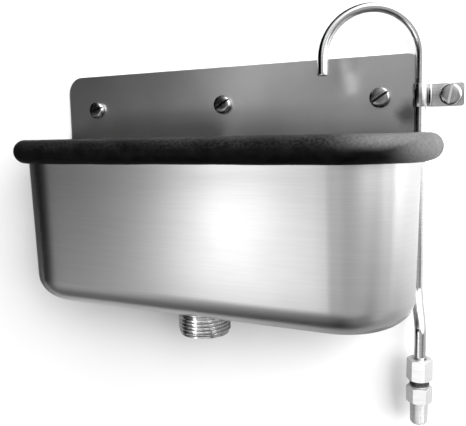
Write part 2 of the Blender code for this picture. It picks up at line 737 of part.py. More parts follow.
def make_overflow():
    """The lift-out standpipe, its plug and its seal, hung on an empty on the drain's axis."""
    lift = bpy.data.objects.new("overflow_lift", None)
    lift.location = (0, DRAIN_Y, BASIN_FLOOR)
    PARTS.objects.link(lift)
    axis = (0, DRAIN_Y, 0)
    inner = OVERFLOW_RADIUS - OVERFLOW_WALL
    tube_bottom = COLLAR_TOP - PLUG_SOCKET_DEPTH + GAP
    profile = [
        (OVERFLOW_RADIUS, OVERFLOW_TOP),
        (OVERFLOW_RADIUS, tube_bottom),
        (inner, tube_bottom),
        (inner, OVERFLOW_TOP),
    ]
    pipe = turned("overflow_tube", profile, axis, ring=True)
    notch_size = (2 * OVERFLOW_RADIUS + OVERRUN, NOTCH_WIDTH, NOTCH_DEPTH + OVERRUN)
    notch_place = Matrix.Translation((0, DRAIN_Y, OVERFLOW_TOP + (OVERRUN - NOTCH_DEPTH) / 2))
    notches = [
        ("DIFFERENCE", box("notch_tool", notch_size, notch_place @ Matrix.Rotation(turn, 4, "Z")))
        for turn in (math.pi / 4, -math.pi / 4)
    ]
    pieces = [add_part(combined(pipe, notches), STEEL)]

    socket_radius = OVERFLOW_RADIUS + GAP
    socket_bottom = COLLAR_TOP - PLUG_SOCKET_DEPTH
    spigot_bottom = COLLAR_BOTTOM - PLUG_SPIGOT_LENGTH
    profile = [
        (PLUG_COLLAR_RADIUS - PLUG_COLLAR_CHAMFER, COLLAR_TOP),
        (PLUG_COLLAR_RADIUS, COLLAR_TOP - PLUG_COLLAR_CHAMFER),
        (PLUG_COLLAR_RADIUS, COLLAR_BOTTOM),
        (PLUG_SPIGOT_RADIUS, COLLAR_BOTTOM),
        (PLUG_SPIGOT_RADIUS, spigot_bottom + PLUG_LEAD_IN),
        (PLUG_SPIGOT_RADIUS - PLUG_LEAD_IN_STEP, spigot_bottom),
        (PLUG_BORE_RADIUS, spigot_bottom),
        (PLUG_BORE_RADIUS, socket_bottom),
        (socket_radius, socket_bottom),
        (socket_radius, COLLAR_TOP),
    ]
    pieces.append(add_part(turned("overflow_plug", profile, axis, ring=True), STEEL))

    seal_inner = PLUG_SPIGOT_RADIUS + GAP
    seal_top = SEAL_BOTTOM + SEAL_THICKNESS
    profile = [
        (SEAL_RADIUS, seal_top),
        (SEAL_RADIUS, SEAL_BOTTOM),
        (seal_inner, SEAL_BOTTOM),
        (seal_inner, seal_top),
    ]
    pieces.append(add_part(turned("overflow_seal", profile, axis, ring=True), RUBBER))
    bpy.context.view_layer.update()
    for piece in pieces:
        place = piece.matrix_world.copy()
        piece.parent = lift
        piece.matrix_world = place


def make_screws():
    plate_seat = PLATE_FRONT - GAP
    make_screw("plate_screw_left", -SCREW_SPACING, plate_seat)
    make_screw("plate_screw_middle", 0, plate_seat)
    make_screw("plate_screw_right", SCREW_SPACING, plate_seat)
    make_screw("strap_screw", STRAP_SCREW_X, -STRAP_THICKNESS - GAP)


clear_scene()
PARTS = collection("dipper_well")
TOOLS = collection("tools")
STEEL = material("brushed_steel", (0.62, 0.62, 0.62), 0.34, 1)
PLATE_STEEL = material("brushed_plate", (0.50, 0.50, 0.50), 0.38, 1)
BRIGHT_STEEL = material("polished_steel", (0.74, 0.74, 0.74), 0.16, 1)
BRASS = material("brass", (0.72, 0.56, 0.28), 0.30, 1)
RUBBER = material("black_rubber", (0.020, 0.020, 0.021), 0.70, 0)

make_basin()
make_back_plate()
make_bumper()
make_screws()
make_spout_tube()
make_strap()
make_nut()
make_ferrule()
make_connector()
make_drain_nipple()
make_overflow()
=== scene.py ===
"""The looks of a wall-hung dipper well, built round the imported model's frame.

Each piece but the hidden ferrule is made again from its node's own box, with finer rounding, helical
threads and worked edges, and each has a procedural finish. Lengths are metres. The wall is at Y = 0
and the basin's rim at Z = 0.
"""

from math import atan2, cos, pi, radians, sin, sqrt, tan, tau

import bmesh
import bpy
from mathutils import Matrix, Vector


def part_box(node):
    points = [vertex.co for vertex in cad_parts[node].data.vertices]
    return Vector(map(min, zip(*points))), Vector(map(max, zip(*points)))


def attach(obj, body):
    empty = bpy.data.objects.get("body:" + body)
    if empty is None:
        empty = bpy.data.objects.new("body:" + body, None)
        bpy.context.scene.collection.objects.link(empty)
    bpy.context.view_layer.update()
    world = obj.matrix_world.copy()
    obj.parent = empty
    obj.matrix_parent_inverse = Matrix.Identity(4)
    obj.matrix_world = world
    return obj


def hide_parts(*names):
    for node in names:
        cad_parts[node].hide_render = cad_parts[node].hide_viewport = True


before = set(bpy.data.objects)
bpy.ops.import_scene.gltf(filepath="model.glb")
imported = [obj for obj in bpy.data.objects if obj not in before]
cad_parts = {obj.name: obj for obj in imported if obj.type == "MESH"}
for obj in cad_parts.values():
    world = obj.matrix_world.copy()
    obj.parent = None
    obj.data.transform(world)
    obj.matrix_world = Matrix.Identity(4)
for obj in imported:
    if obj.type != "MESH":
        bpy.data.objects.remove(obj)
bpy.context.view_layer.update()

QUARTER = pi / 2
SHARP_ANGLE = radians(33)
MERGE_DISTANCE = 0.000002
OVERRUN = 0.002
OUT_FROM_WALL = Matrix.Rotation(QUARTER, 4, "X")

# Sizes read from the frame
PLATE_LOW, PLATE_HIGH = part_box("back_plate")
BASIN_LOW, BASIN_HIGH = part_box("basin")
_, BUMPER_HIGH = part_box("rim_bumper")
TUBE_LOW, TUBE_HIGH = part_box("spout_tube")
STRAP_LOW, STRAP_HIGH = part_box("tube_strap")
NUT_LOW, NUT_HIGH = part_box("compression_nut")
BODY_LOW, BODY_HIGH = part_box("inlet_connector")
DRAIN_LOW, DRAIN_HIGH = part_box("drain_nipple")
PIPE_LOW, PIPE_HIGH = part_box("overflow_tube")
PLUG_LOW, PLUG_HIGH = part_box("overflow_plug")
SEAL_LOW, SEAL_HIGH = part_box("overflow_seal")
SEAL_RADIUS = (SEAL_HIGH.x - SEAL_LOW.x) / 2

# Back plate
PLATE_TOP_CORNER = 0.0115
PLATE_BOTTOM_CORNER = 0.006
PLATE_EDGE = 0.00018

# Basin
BASIN_WALL = 0.001
FLANGE_WIDTH = 0.0052
FLANGE_BEND = 0.0012
FLANGE_END = 0.0105
FLANGE_FADE = 0.002
FLANGE_LEAST_SHARE = 0.03
REAR_CORNER = 0.0255
END_FLAT = 0.0005
END_DRAFT = radians(1.3)
FRONT_DRAFT = radians(1.8)
FILLET_HEIGHT = 0.016
FILLET_REACH_LONG = 0.019
FLOOR_MARGIN = 0.00065
DRAIN_HOLE_RADIUS = 0.0134
BASIN_HALF_LENGTH = BASIN_HIGH.x - FLANGE_WIDTH
BASIN_BACK = BASIN_HIGH.y
BASIN_FRONT = BASIN_LOW.y + FLANGE_WIDTH
BASIN_DEPTH = -BASIN_LOW.z
FRONT_CORNER = BASIN_BACK - BASIN_FRONT - REAR_CORNER - END_FLAT
DRAIN_X = (DRAIN_LOW.x + DRAIN_HIGH.x) / 2
DRAIN_Y = (DRAIN_LOW.y + DRAIN_HIGH.y) / 2
DRAIN_PLACE = Matrix.Translation((DRAIN_X, DRAIN_Y, 0))
FILLET_REACH_CROSS = BASIN_BACK - DRAIN_Y - SEAL_RADIUS - FLOOR_MARGIN

# Rubber moulding
BUMPER_TRIM = 0.00001
BUMPER_REACH = BUMPER_HIGH.x - BASIN_HALF_LENGTH - BUMPER_TRIM
BUMPER_INNER_REACH = 0.0043
BUMPER_CROWN = 0.0016
BUMPER_END_ROUND = 0.0006
BUMPER_WAVE_HEIGHT = 0.00007
BUMPER_WAVES = ((61, 0), (143, 1))
SLOT_TOP = 0.0007
SLOT_BOTTOM = -0.0013
SLOT_END = 0.0055
SLOT_CLEARANCE = 0.0003

# Wood screws
HEAD_RADIUS = 0.0059
HEAD_EDGE = 0.0009
HEAD_HEIGHT = 0.0031
HEAD_ROUND = 0.00025
HEAD_SQUARENESS_SHARE = 0.5
DRIVE_SLOT_WIDTH = 0.0013
DRIVE_SLOT_DEPTH = 0.0014
SCREW_HOLE_RADIUS = 0.0029
SHANK_RADIUS = 0.0024
SHANK_ROOT = 0.0018
SHANK_PLAIN = 0.0053
SCREW_LENGTH = 0.0254
SCREW_POINT = 0.004
SCREW_PITCH = 0.0028
SLOT_TURNS = {
    "plate_screw_left": radians(18),
    "plate_screw_middle": radians(32),
    "plate_screw_right": radians(33),
    "strap_screw": radians(79),
}

# Spout tube
TUBE_RADIUS = 0.003175
TUBE_WALL = 0.0007
TUBE_LIP = 0.0002
NECK_TURN = radians(19)
NECK_RADIUS = 0.02675
SPOUT_DROP = 0.0095
JOG_TOP = -0.080
JOG_BOTTOM = -0.106
JOG_RIGHT = 0.0039
JOG_FORWARD = 0.0100
TUBE_GAP = 0.0003
SNUG_RADIUS = TUBE_RADIUS + TUBE_GAP
NECK_TOP = TUBE_HIGH.z - TUBE_RADIUS
STRAP_LEG_GAP = 0.0011
TUBE_X = PLATE_HIGH.x + STRAP_LEG_GAP - SNUG_RADIUS
TUBE_Y = PLATE_LOW.y - SNUG_RADIUS
FITTING_X = (NUT_LOW.x + NUT_HIGH.x) / 2
FITTING_Y = (NUT_LOW.y + NUT_HIGH.y) / 2
FITTING_PLACE = Matrix.Translation((FITTING_X, FITTING_Y, 0))

# Strap
STRAP_THICKNESS = 0.0007
STRAP_BEND = 0.0025
STRAP_TONGUE_CORNER = 0.0013
STRAP_EDGE = 0.00015

# Fittings
THREAD_RISE = 3.4
THREAD_ROOT_SHARE = 0.3
HEX_SIDES = 6
HEX_FLAT_RADIUS = 0.00635
HEX_CORNER_ROUND = 0.0004
HEX_FACE_SHARE = 0.95
HEX_CHAMFER_SLOPE = tan(radians(30))
NUT_TURN = radians(3)
BODY_TURN = radians(11)
NUT_SHOULDER = 0.0032
NUT_THREAD_RADIUS = 0.0055
NUT_THREAD_PITCH = 0.0011
NUT_THREAD_DEPTH = 0.0006
NUT_THREAD_SHOWN = 0.0036
BODY_HEX_TOP = NUT_LOW.z - NUT_THREAD_SHOWN
BODY_HEX_LENGTH = 0.0094
BODY_BORE_RADIUS = 0.0024
SEAT_RADIUS = 0.0048
SEAT_TIP_RADIUS = 0.004175
SEAT_DEPTH = 0.0031
SOCKET_DEPTH = 0.009
PIPE_THREAD_RADIUS = 0.0051
PIPE_THREAD_PITCH = 0.00094
PIPE_THREAD_DEPTH = 0.0007
PIPE_THREAD_TAPER_SHARE = 0.03

# Drain nipple
DRAIN_RADIUS = (DRAIN_HIGH.x - DRAIN_LOW.x) / 2
DRAIN_BORE_RADIUS = 0.0131
DRAIN_PLAIN = 0.0022
DRAIN_PITCH = 0.00221
DRAIN_THREAD_DEPTH = 0.0012
DRAIN_ROOT = DRAIN_RADIUS - DRAIN_THREAD_DEPTH
DRAIN_FADING_TURNS = 0.5
DRAIN_CHAMFER = 0.0012

# Overflow pieces
PIPE_RADIUS = (PIPE_HIGH.x - PIPE_LOW.x) / 2
PIPE_WALL = 0.0009
PIPE_EDGE = 0.0002
NOTCH_WIDTH = 0.005
NOTCH_DEPTH = 0.012
NOTCH_ROUND = 0.0012
PLUG_RADIUS = (PLUG_HIGH.x - PLUG_LOW.x) / 2
PLUG_COLLAR_HEIGHT = 0.005
PLUG_CHAMFER = 0.0008
PLUG_SPIGOT_RADIUS = 0.0124
PLUG_LEAD_IN = 0.0025
PLUG_LEAD_IN_STEP = 0.0012
PLUG_BORE_RADIUS = 0.0095
PLUG_SOCKET_DEPTH = 0.007
PLUG_EDGE = 0.0003
SEAL_EDGE = 0.0005

# How finely shapes are divided
CORNER_STEPS = 22
LONG_SIDE_STEPS = 26
WALL_STEPS = 7
FILLET_STEPS = 14
FLOOR_STEPS = 4
ROUND_STEPS = 64
TUBE_STEPS = 36
NECK_STEPS = 72
JOG_STEPS = 30
STRAP_STEPS = 36
SMALL_STEPS = 6
THREAD_ROWS = 12
EDGE_STEPS = 3
SHEET_EDGE_STEPS = 2

# Noises of the finishes: features to the metre along X, Y and Z, and detail
UPRIGHT_STREAKS = ((40, 40, 1400), 4)
LEVEL_STREAKS = ((40, 1400, 40), 4)
WIDE_STREAKS = ((6, 6, 240), 3)
SMUDGES = ((24, 24, 24), 3)
# Noise for the ragged edge of the back plate's painted patch of shade
PAINTED_SHADE_EDGE = ((120, 120, 120), 2)
MOTTLE = ((130, 130, 170), 6)
RUBBER_BLOOM = ((28, 28, 40), 4)
SPECKS = ((800, 800, 800), 5)
PORES = ((900, 900, 900), 4)
DRAWN_RINGS = ((60, 60, 1500), 2)
FINGERPRINTS = ((70, 70, 45), 4)
TURNED_RINGS = ((90, 90, 2200), 3)
STAINS = ((160, 160, 160), 4)
HEAD_RINGS = ((2400, 2400, 2400), 2)
HEAD_BLOOM = ((420, 420, 420), 5)
BRASS_RINGS = ((60, 60, 2600), 3)
BRASS_STAINS = ((200, 200, 200), 3)

# Spans of a noise over which a finish changes
STREAK_SPAN = (0.36, 0.64)
EVEN_SPAN = (0.3, 0.7)
RING_SPAN = (0.35, 0.65)
PATCH_SPAN = (0.35, 0.7)
BLOOM_SPAN = (0.3, 0.75)
DULL_BLOOM_SPAN = (0.45, 0.75)
DUST_SPAN = (0.4, 0.62)
PAINTED_SHEEN_SPECK_SPAN = (0.3, 0.6)
ROOT_DARKENING_SPAN = (0.2, 0.6)

# Brushed steel: dark and light grey and roughness, then what varies
BASIN_STEEL = (0.63, 0.66, 0.30)
PLATE_STEEL = (0.48, 0.52, 0.31)
ANISOTROPY = 0.35
ANISOTROPY_TURN = 0.25
LEVEL_FACE_SPAN = (0.75, 0.9)
FINE_SHARE = 0.8
SMUDGE_ROUGHNESS = 0.01
# A painted patch of shade on the back plate near its lower right end: where, how ragged, how wide and
# how dark
PAINTED_SHADE_FROM_END = 0.009
PAINTED_SHADE_HEIGHT = 0.018
PAINTED_SHADE_PLACE = (PLATE_HIGH.x - PAINTED_SHADE_FROM_END, PAINTED_SHADE_HEIGHT, 0)
PAINTED_SHADE_RAGGED = 0.008
PAINTED_SHADE_SPAN = (0.006, 0.0145)
PAINTED_SHADE_SHARE = 0.75
PAINTED_SHADE_GREY_SHARE = 0.1

# Rubber
RUBBER_SPECULAR = 0.08
RUBBER_GREYS = (0.001, 0.004)
RUBBER_ROUGHNESS = (0.42, 0.58)
RUBBER_BUMP = (0.22, 0.0002)
DUST_FACING = (-0.2, 0.9)
DUST_LEAST_BLOOM = 0.3
DUST_LEAST_SPECK = 0.2
DUST_GREY = 0.028
# Painted sheen: a paler grey in specks on the moulding's right end and its upward faces near it,
# standing for light from the right
PAINTED_SHEEN_FACING = (-0.25, 0.65)
PAINTED_SHEEN_SPAN = (0.088, 0.122)
PAINTED_SHEEN_SHARE = 0.8
PAINTED_SHEEN_END_SPAN = (0.118, 0.137)
PAINTED_SHEEN_END_SHARE = 0.85
PAINTED_SHEEN_LEAST_SPECK = 0.75
PAINTED_SHEEN_GREY = 0.12

# Polished and turned metal
TUBE_GREYS = (0.70, 0.78)
STRAP_GREYS = (0.46, 0.53)
POLISHED_ROUGHNESS = (0.10, 0.19)
POLISHED_BUMP = (0.05, 0.00002)
TURNED_GREYS = (0.80, 0.88)
TURNED_ROUGHNESS = 0.2
DRAIN_ROUGHNESS = 0.14
STAIN_ROUGHNESS = (-0.04, 0.07)
TURNED_BUMP = (0.06, 0.00003)
FITTING_METALLIC = 0.78
# Darker nearer the axis, between a root and a crest radius, more so in stained patches
ROOT_DARKENING_LEAST_STAIN = 0.6
ROOT_DARKENING_SHARE = 0.5
ROOT_DARKENING_GREY = 0.22
# Painted shade above a height, which darkens the inlet's thread just under the nut
PAINTED_NUT_SHADE_FADE = 0.0004
PAINTED_NUT_SHADE_SHARE = 0.9
PAINTED_NUT_SHADE_GREY = 0.03
BRASS_DARK = (0.62, 0.44, 0.20, 1)
BRASS_LIGHT = (0.74, 0.58, 0.30, 1)
BRASS_ROUGHNESS = (0.22, 0.36)
BRASS_BUMP = (0.08, 0.00003)

# Screw heads: greys of the plating and the slot, then shares of the plating's grey and what varies;
# the slot's grey is painted shade on the plate screws and a painted highlight on the strap screw
SCREW_GREYS = (0.33, 0.03)
STRAP_SCREW_GREYS = (0.48, 0.95)
HEAD_RING_SHARES = (0.88, 1.12)
HEAD_BLOOM_SHARE = 0.5
HEAD_DULL_SHARE = 0.6
HEAD_ROUGHNESS = (0.17, 0.30)
HEAD_BUMP = (0.08, 0.00004)
# Painted shade round the foot of the head, where it meets the plate
PAINTED_FOOT_SHADE_SPAN = (0.1 * HEAD_HEIGHT, 0.6 * HEAD_HEIGHT)
PAINTED_FOOT_SHADE_SHARE = 0.85
PAINTED_FOOT_SHADE_GREY = 0.12
# The rim of the head, which takes the painted highlight and the painted shade below
RIM_SPAN = (0.8 * HEAD_RADIUS, 0.92 * HEAD_RADIUS)
RIM_SHARE = 0.9
# Painted highlight: a near-white grey on the upper right of the head's rim
PAINTED_HIGHLIGHT_SPAN = (0.4 * HEAD_RADIUS, HEAD_RADIUS)
PAINTED_HIGHLIGHT_GREY = 0.9
# Painted shade: a near-black grey on the lower left of the head's rim
PAINTED_RIM_SHADE_SPAN = (-0.9 * HEAD_RADIUS, -0.1 * HEAD_RADIUS)
PAINTED_RIM_SHADE_GREY = 0.03
SLOT_DEPTH_SPAN = (HEAD_HEIGHT - 0.8 * DRIVE_SLOT_DEPTH, HEAD_HEIGHT - 0.3 * DRIVE_SLOT_DEPTH)
SLOT_REACH_SPAN = (0.8 * HEAD_RADIUS, 0.88 * HEAD_RADIUS)


def show(obj):
    bpy.context.scene.collection.objects.link(obj)


def piece(obj, finish, node, body="well"):
    """Give a finished object its material and its body, and hide the node that it stands for."""
    show(obj)
    obj.data.materials.clear()
    obj.data.materials.append(finish)
    obj.data.shade_smooth()
    obj.data.set_sharp_from_angle(angle=SHARP_ANGLE)
    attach(obj, body)
    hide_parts(node)


def mesh_object(name, work, place=Matrix.Identity(4)):
    mesh = bpy.data.meshes.new(name)
    work.to_mesh(mesh)
    work.free()
    obj = bpy.data.objects.new(name, mesh)
    obj.matrix_world = place
    return obj


def loft(name, rows, closed=False, caps=False, solid=True, place=Matrix.Identity(4)):
    """Faces between rows of points, each row a closed loop. Closed joins the last row to the first."""
    work = bmesh.new()
    made = [[work.verts.new(point) for point in row] for row in rows]
    pairs = list(zip(made, made[1:]))
    if closed:
        pairs.append((made[-1], made[0]))
    for upper, lower in pairs:
        for i in range(len(upper)):
            j = (i + 1) % len(upper)
            work.faces.new((upper[i], upper[j], lower[j], lower[i]))
    if caps:
        work.faces.new(list(reversed(made[0])))
        work.faces.new(made[-1])
    if solid:
        bmesh.ops.remove_doubles(work, verts=work.verts, dist=MERGE_DISTANCE)
        bmesh.ops.recalc_face_normals(work, faces=work.faces)
    return mesh_object(name, work, place)


def applied(obj):
    """The object with its modifiers or its curve made into one plain mesh."""
    show(obj)
    bpy.context.view_layer.update()
    name = obj.name
    graph = bpy.context.evaluated_depsgraph_get()
    mesh = bpy.data.meshes.new_from_object(obj.evaluated_get(graph))
    matrix = obj.matrix_world.copy()
    bpy.data.objects.remove(obj)
    made = bpy.data.objects.new(name, mesh)
    made.matrix_world = matrix
    return made


def cut(obj, *tools):
    """The object less each tool."""
    for tool in tools:
        show(tool)
        boolean = obj.modifiers.new("Cut", "BOOLEAN")
        boolean.operation = "DIFFERENCE"
        boolean.solver = "EXACT"
        boolean.object = tool
    made = applied(obj)
    for tool in tools:
        bpy.data.objects.remove(tool)
    return made


def arc(centre, radius, start, end, steps):
    """Points on a flat arc about centre, from one angle to another."""
    angles = [start + (end - start) * i / steps for i in range(steps + 1)]
    return [Vector((centre[0] + radius * cos(a), centre[1] + radius * sin(a))) for a in angles]


def between(first, last, steps):
    """Points at even steps between two points, without the two."""
    return [first.lerp(last, i / steps) for i in range(1, steps)]


def rounded(points, radius, closed=True, steps=EDGE_STEPS):
    """The outline with each corner eased by a short curve of about the radius."""
    made = []
    count = len(points)
    for i, corner in enumerate(points):
        corner = Vector(corner)
        if not closed and i in (0, count - 1):
            made.append(corner)
            continue
        before = Vector(points[i - 1]) - corner
        after = Vector(points[(i + 1) % count]) - corner
        reach = min(radius, before.length / 2, after.length / 2)
        first = corner + before.normalized() * reach
        last = corner + after.normalized() * reach
        for k in range(steps + 1):
            share = k / steps
            made.append(first.lerp(corner, share).lerp(corner.lerp(last, share), share))
    return made


def quarter(steps, first=0):
    """Sine and cosine at even steps over a quarter turn."""
    angles = [QUARTER * i / steps for i in range(first, steps + 1)]
    return [(sin(a), cos(a)) for a in angles]


def round_angles(steps=ROUND_STEPS):
    return [tau * i / steps for i in range(steps)]


def rectangle(x, y):
    """Corners of a rectangle of half length x and half width y."""
    return [(-x, -y), (x, -y), (x, y), (-x, y)]


def rings(profile, angles):
    """A round row of points for each (radius, height) of a profile."""
    return [[(radius * cos(a), radius * sin(a), height) for a in angles] for radius, height in profile]


def turned(name, corners, edge, steps=ROUND_STEPS):
    """A closed loop of (radius, height) corners, eased and turned round the drain's upright axis."""
    rows = rings(rounded(corners, edge), round_angles(steps))
    return loft(name, rows, closed=True, place=DRAIN_PLACE)


def hollow(outer, inner, high, low):
    """The profile of a straight tube."""
    return [(outer, high), (outer, low), (inner, low), (inner, high)]


def thread_rows(top, bottom, crest, depth, pitch, angles, taper=0, fading_turns=1):
    """Rows of a helical thread from top to bottom, which fades to its root at both ends."""
    count = round((top - bottom) / pitch * THREAD_ROWS)
    rows = []
    for i in range(count + 1):
        height = top + (bottom - top) * i / count
        near_end = min(top - height, height - bottom)
        shown = min(1, near_end / (pitch * fading_turns))
        row = []
        for angle in angles:
            phase = (height / pitch - angle / tau) % 1
            ridge = min(1, max(0, THREAD_RISE * (0.5 - abs(phase - 0.5)) - THREAD_ROOT_SHARE))
            radius = crest - taper * (top - height) - depth * (1 - ridge * shown)
            row.append((radius * cos(angle), radius * sin(angle), height))
        rows.append(row)
    return rows


def round_rectangle(half_length, front, back, front_radius, rear_radius, side_steps=LONG_SIDE_STEPS):
    """A rectangle with round corners, clockwise from its rear right-hand one."""
    corners = [
        ((half_length - rear_radius, back - rear_radius), rear_radius, QUARTER),
        ((half_length - front_radius, front + front_radius), front_radius, 0),
        ((front_radius - half_length, front + front_radius), front_radius, -QUARTER),
        ((rear_radius - half_length, back - rear_radius), rear_radius, -pi),
    ]
    rear_right, front_right, front_left, rear_left = [
        arc(centre, radius, start, start - QUARTER, CORNER_STEPS) for centre, radius, start in corners
    ]
    front_side = between(front_right[-1], front_left[0], side_steps)
    rear_side = between(rear_left[-1], rear_right[0], side_steps)
    return [*rear_right, *front_right, *front_side, *front_left, *rear_left, *rear_side]


def basin_ring(depth, long_inset=0, cross_inset=0):
    """The basin's outer outline at a depth below the rim, drawn in by the bottom fillet's insets."""
    end_draw = depth * tan(END_DRAFT)
    front_draw = depth * tan(FRONT_DRAFT)
    corner_draw = (end_draw + front_draw + long_inset + cross_inset) / 2
    return round_rectangle(
        BASIN_HALF_LENGTH - end_draw - long_inset,
        BASIN_FRONT + front_draw + cross_inset,
        BASIN_BACK - cross_inset,
        FRONT_CORNER - corner_draw,
        REAR_CORNER - (long_inset + cross_inset) / 2,
    )


def rim_rows():
    """Rows from the turned-out flange's edge, round its bend, to the top of the wall."""
    base = basin_ring(0)
    wide = round_rectangle(
        BASIN_HALF_LENGTH + FLANGE_WIDTH,
        BASIN_FRONT - FLANGE_WIDTH,
        BASIN_BACK + FLANGE_WIDTH,
        FRONT_CORNER + FLANGE_WIDTH,
        REAR_CORNER + FLANGE_WIDTH,
    )
    bend_share = FLANGE_BEND / FLANGE_WIDTH
    places = [(1, BASIN_WALL), ((1 + bend_share) / 2, BASIN_WALL)]
    for sine, cosine in quarter(SMALL_STEPS):
        places.append((bend_share * (1 - sine), BASIN_WALL + FLANGE_BEND * (1 - cosine)))
    rows = []
    for reach, drop in places:
        row = []
        for inner, outer in zip(base, wide):
            shown = (-FLANGE_END + FLANGE_FADE - inner.y) / FLANGE_FADE
            shown = min(1, max(FLANGE_LEAST_SHARE, shown))
            point = inner.lerp(outer, reach * shown)
            row.append((point.x, point.y, -drop * max(shown, reach == 0)))
        rows.append(row)
    return rows


def make_basin(finish):
    """The drawn bowl with its flange, as one sheet thickened inwards."""
    rows = rim_rows()
    wall_top = BASIN_WALL + FLANGE_BEND
    wall_depth = BASIN_DEPTH - FILLET_HEIGHT
    for i in range(1, WALL_STEPS):
        depth = wall_top + (wall_depth - wall_top) * i / WALL_STEPS
        rows.append([(*point, -depth) for point in basin_ring(depth)])
    for sine, cosine in quarter(FILLET_STEPS):
        depth = wall_depth + FILLET_HEIGHT * sine
        long_inset = FILLET_REACH_LONG * (1 - cosine)
        cross_inset = FILLET_REACH_CROSS * (1 - cosine)
        rows.append([(*point, -depth) for point in basin_ring(depth, long_inset, cross_inset)])
    edge = [Vector(point) for point in rows[-1]]
    start = tau * (CORNER_STEPS + 0.5) / len(edge)
    hole = arc((DRAIN_X, DRAIN_Y), DRAIN_HOLE_RADIUS, start, start - tau, len(edge))
    hole = [Vector((*point, -BASIN_DEPTH)) for point in hole]
    for k in range(1, FLOOR_STEPS + 1):
        rows.append([a.lerp(b, k / FLOOR_STEPS) for a, b in zip(edge, hole)])
    bowl = loft("basin_bowl", rows, solid=False)
    thicken = bowl.modifiers.new("Sheet", "SOLIDIFY")
    thicken.thickness = BASIN_WALL
    thicken.offset = -1
    thicken.use_even_offset = True
    piece(applied(bowl), finish, "basin")


def make_back_plate(finish):
    """A flat sheet with eased edges and holes for its screws."""
    corners = (PLATE_BOTTOM_CORNER, PLATE_TOP_CORNER)
    loops = [round_rectangle(PLATE_HIGH.x, PLATE_LOW.z, PLATE_HIGH.z, *corners, side_steps=1)]
    for name in ("plate_screw_left", "plate_screw_middle", "plate_screw_right"):
        low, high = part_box(name)
        middle = (low + high) / 2
        loops.append(arc((middle.x, middle.z), SCREW_HOLE_RADIUS, 0, tau, ROUND_STEPS)[:-1])
    curve = bpy.data.curves.new("back_plate_sheet", "CURVE")
    curve.dimensions = "2D"
    curve.fill_mode = "BOTH"
    curve.extrude = -PLATE_LOW.y / 2 - PLATE_EDGE
    curve.bevel_depth = PLATE_EDGE
    curve.bevel_resolution = SHEET_EDGE_STEPS
    curve.offset = -PLATE_EDGE
    for loop in loops:
        spline = curve.splines.new("POLY")
        spline.points.add(len(loop) - 1)
        for knot, point in zip(spline.points, loop):
            knot.co = (point.x, point.y, 0, 1)
        spline.use_cyclic_u = True
    sheet = bpy.data.objects.new("back_plate_sheet", curve)
    sheet.matrix_world = Matrix.Translation((0, PLATE_LOW.y / 2, 0)) @ OUT_FROM_WALL
    piece(applied(sheet), finish, "back_plate")


def rim_path(offset):
    """The rim's line round the front and both ends, moved outwards by offset, left end first."""
    radius = FRONT_CORNER + offset
    half = BASIN_HALF_LENGTH + offset
    front = BASIN_FRONT - offset
    end = BUMPER_HIGH.y
    left = arc((radius - half, front + radius), radius, -pi, -QUARTER, CORNER_STEPS)
    right = arc((half - radius, front + radius), radius, -QUARTER, 0, CORNER_STEPS)
    first, last = Vector((-half, end)), Vector((half, end))
    return [
        first, *between(first, left[0], SMALL_STEPS), *left,
        *between(left[-1], right[0], LONG_SIDE_STEPS), *right,
        *between(right[-1], last, SMALL_STEPS), last,
    ]


def bumper_section():
    """The moulding's section: x outwards from the basin's outer face, y up, with its slot."""
    half_height = BUMPER_HIGH.z
    outer_reach = BUMPER_REACH - BUMPER_CROWN
    inner_reach = BUMPER_INNER_REACH + BUMPER_CROWN
    inner_low = BUMPER_CROWN - SLOT_CLEARANCE
    steps = 2 * SMALL_STEPS
    points = [Vector((SLOT_END, SLOT_TOP)), Vector((-BUMPER_INNER_REACH, SLOT_TOP))]
    for sine, cosine in quarter(steps, first=1):
        rise = SLOT_TOP + (half_height - SLOT_TOP) * sine
        points.append(Vector((BUMPER_CROWN - inner_reach * cosine, rise)))
    for i in range(1, 2 * steps + 1):
        angle = QUARTER - QUARTER * i / steps
        reach = BUMPER_CROWN + outer_reach * cos(angle)
        points.append(Vector((reach, half_height * sin(angle))))
    for sine, cosine in quarter(SMALL_STEPS, first=1):
        drop = inner_low * (1 - cosine) - half_height
        points.append(Vector((BUMPER_CROWN - inner_low * sine, drop)))
    points.append(Vector((SLOT_CLEARANCE, SLOT_BOTTOM)))
    points.append(Vector((SLOT_END, SLOT_BOTTOM)))
    return points


def make_bumper(finish):
    """The moulding swept round the rim, a little uneven as pushed-on rubber is, its ends eased."""
    section = bumper_section()
    centre = Vector((BUMPER_CROWN, 0))
    line = rim_path(0)
    normals = [(b - a).normalized() for a, b in zip(line, rim_path(FLANGE_WIDTH))]
    run = 0
    rows = []
    for number, (point, normal) in enumerate(zip(line, normals)):
        if number:
            run += (point - line[number - 1]).length
        waves = [sin(run * turn + start) - 1 for turn, start in BUMPER_WAVES]
        swell = BUMPER_WAVE_HEIGHT * sum(waves)
        scale = 1 + swell / BUMPER_HIGH.z
        row = []
        for corner in section:
            reach, height = centre + (corner - centre) * scale
            place = point + normal * reach
            row.append((place.x, place.y, height))
        rows.append(row)
    for end, inward in ((0, 1), (-1, -2)):
        full = [Vector(p) for p in rows[end]]
        along = (Vector(rows[inward][0]) - full[0]).normalized()
        middle = sum(full, Vector()) / len(full)
        eased = []
        for sine, cosine in quarter(EDGE_STEPS):
            shrink = 1 - BUMPER_END_ROUND * (1 - sine) / BUMPER_HIGH.z
            shift = along * BUMPER_END_ROUND * (1 - cosine)
            eased.append([middle + (p - middle) * shrink + shift for p in full])
        rows = [*eased, *rows[1:]] if end == 0 else [*rows[:-1], *reversed(eased)]
    moulding = loft("rim_moulding", rows, caps=True)
    piece(moulding, finish, "rim_bumper")


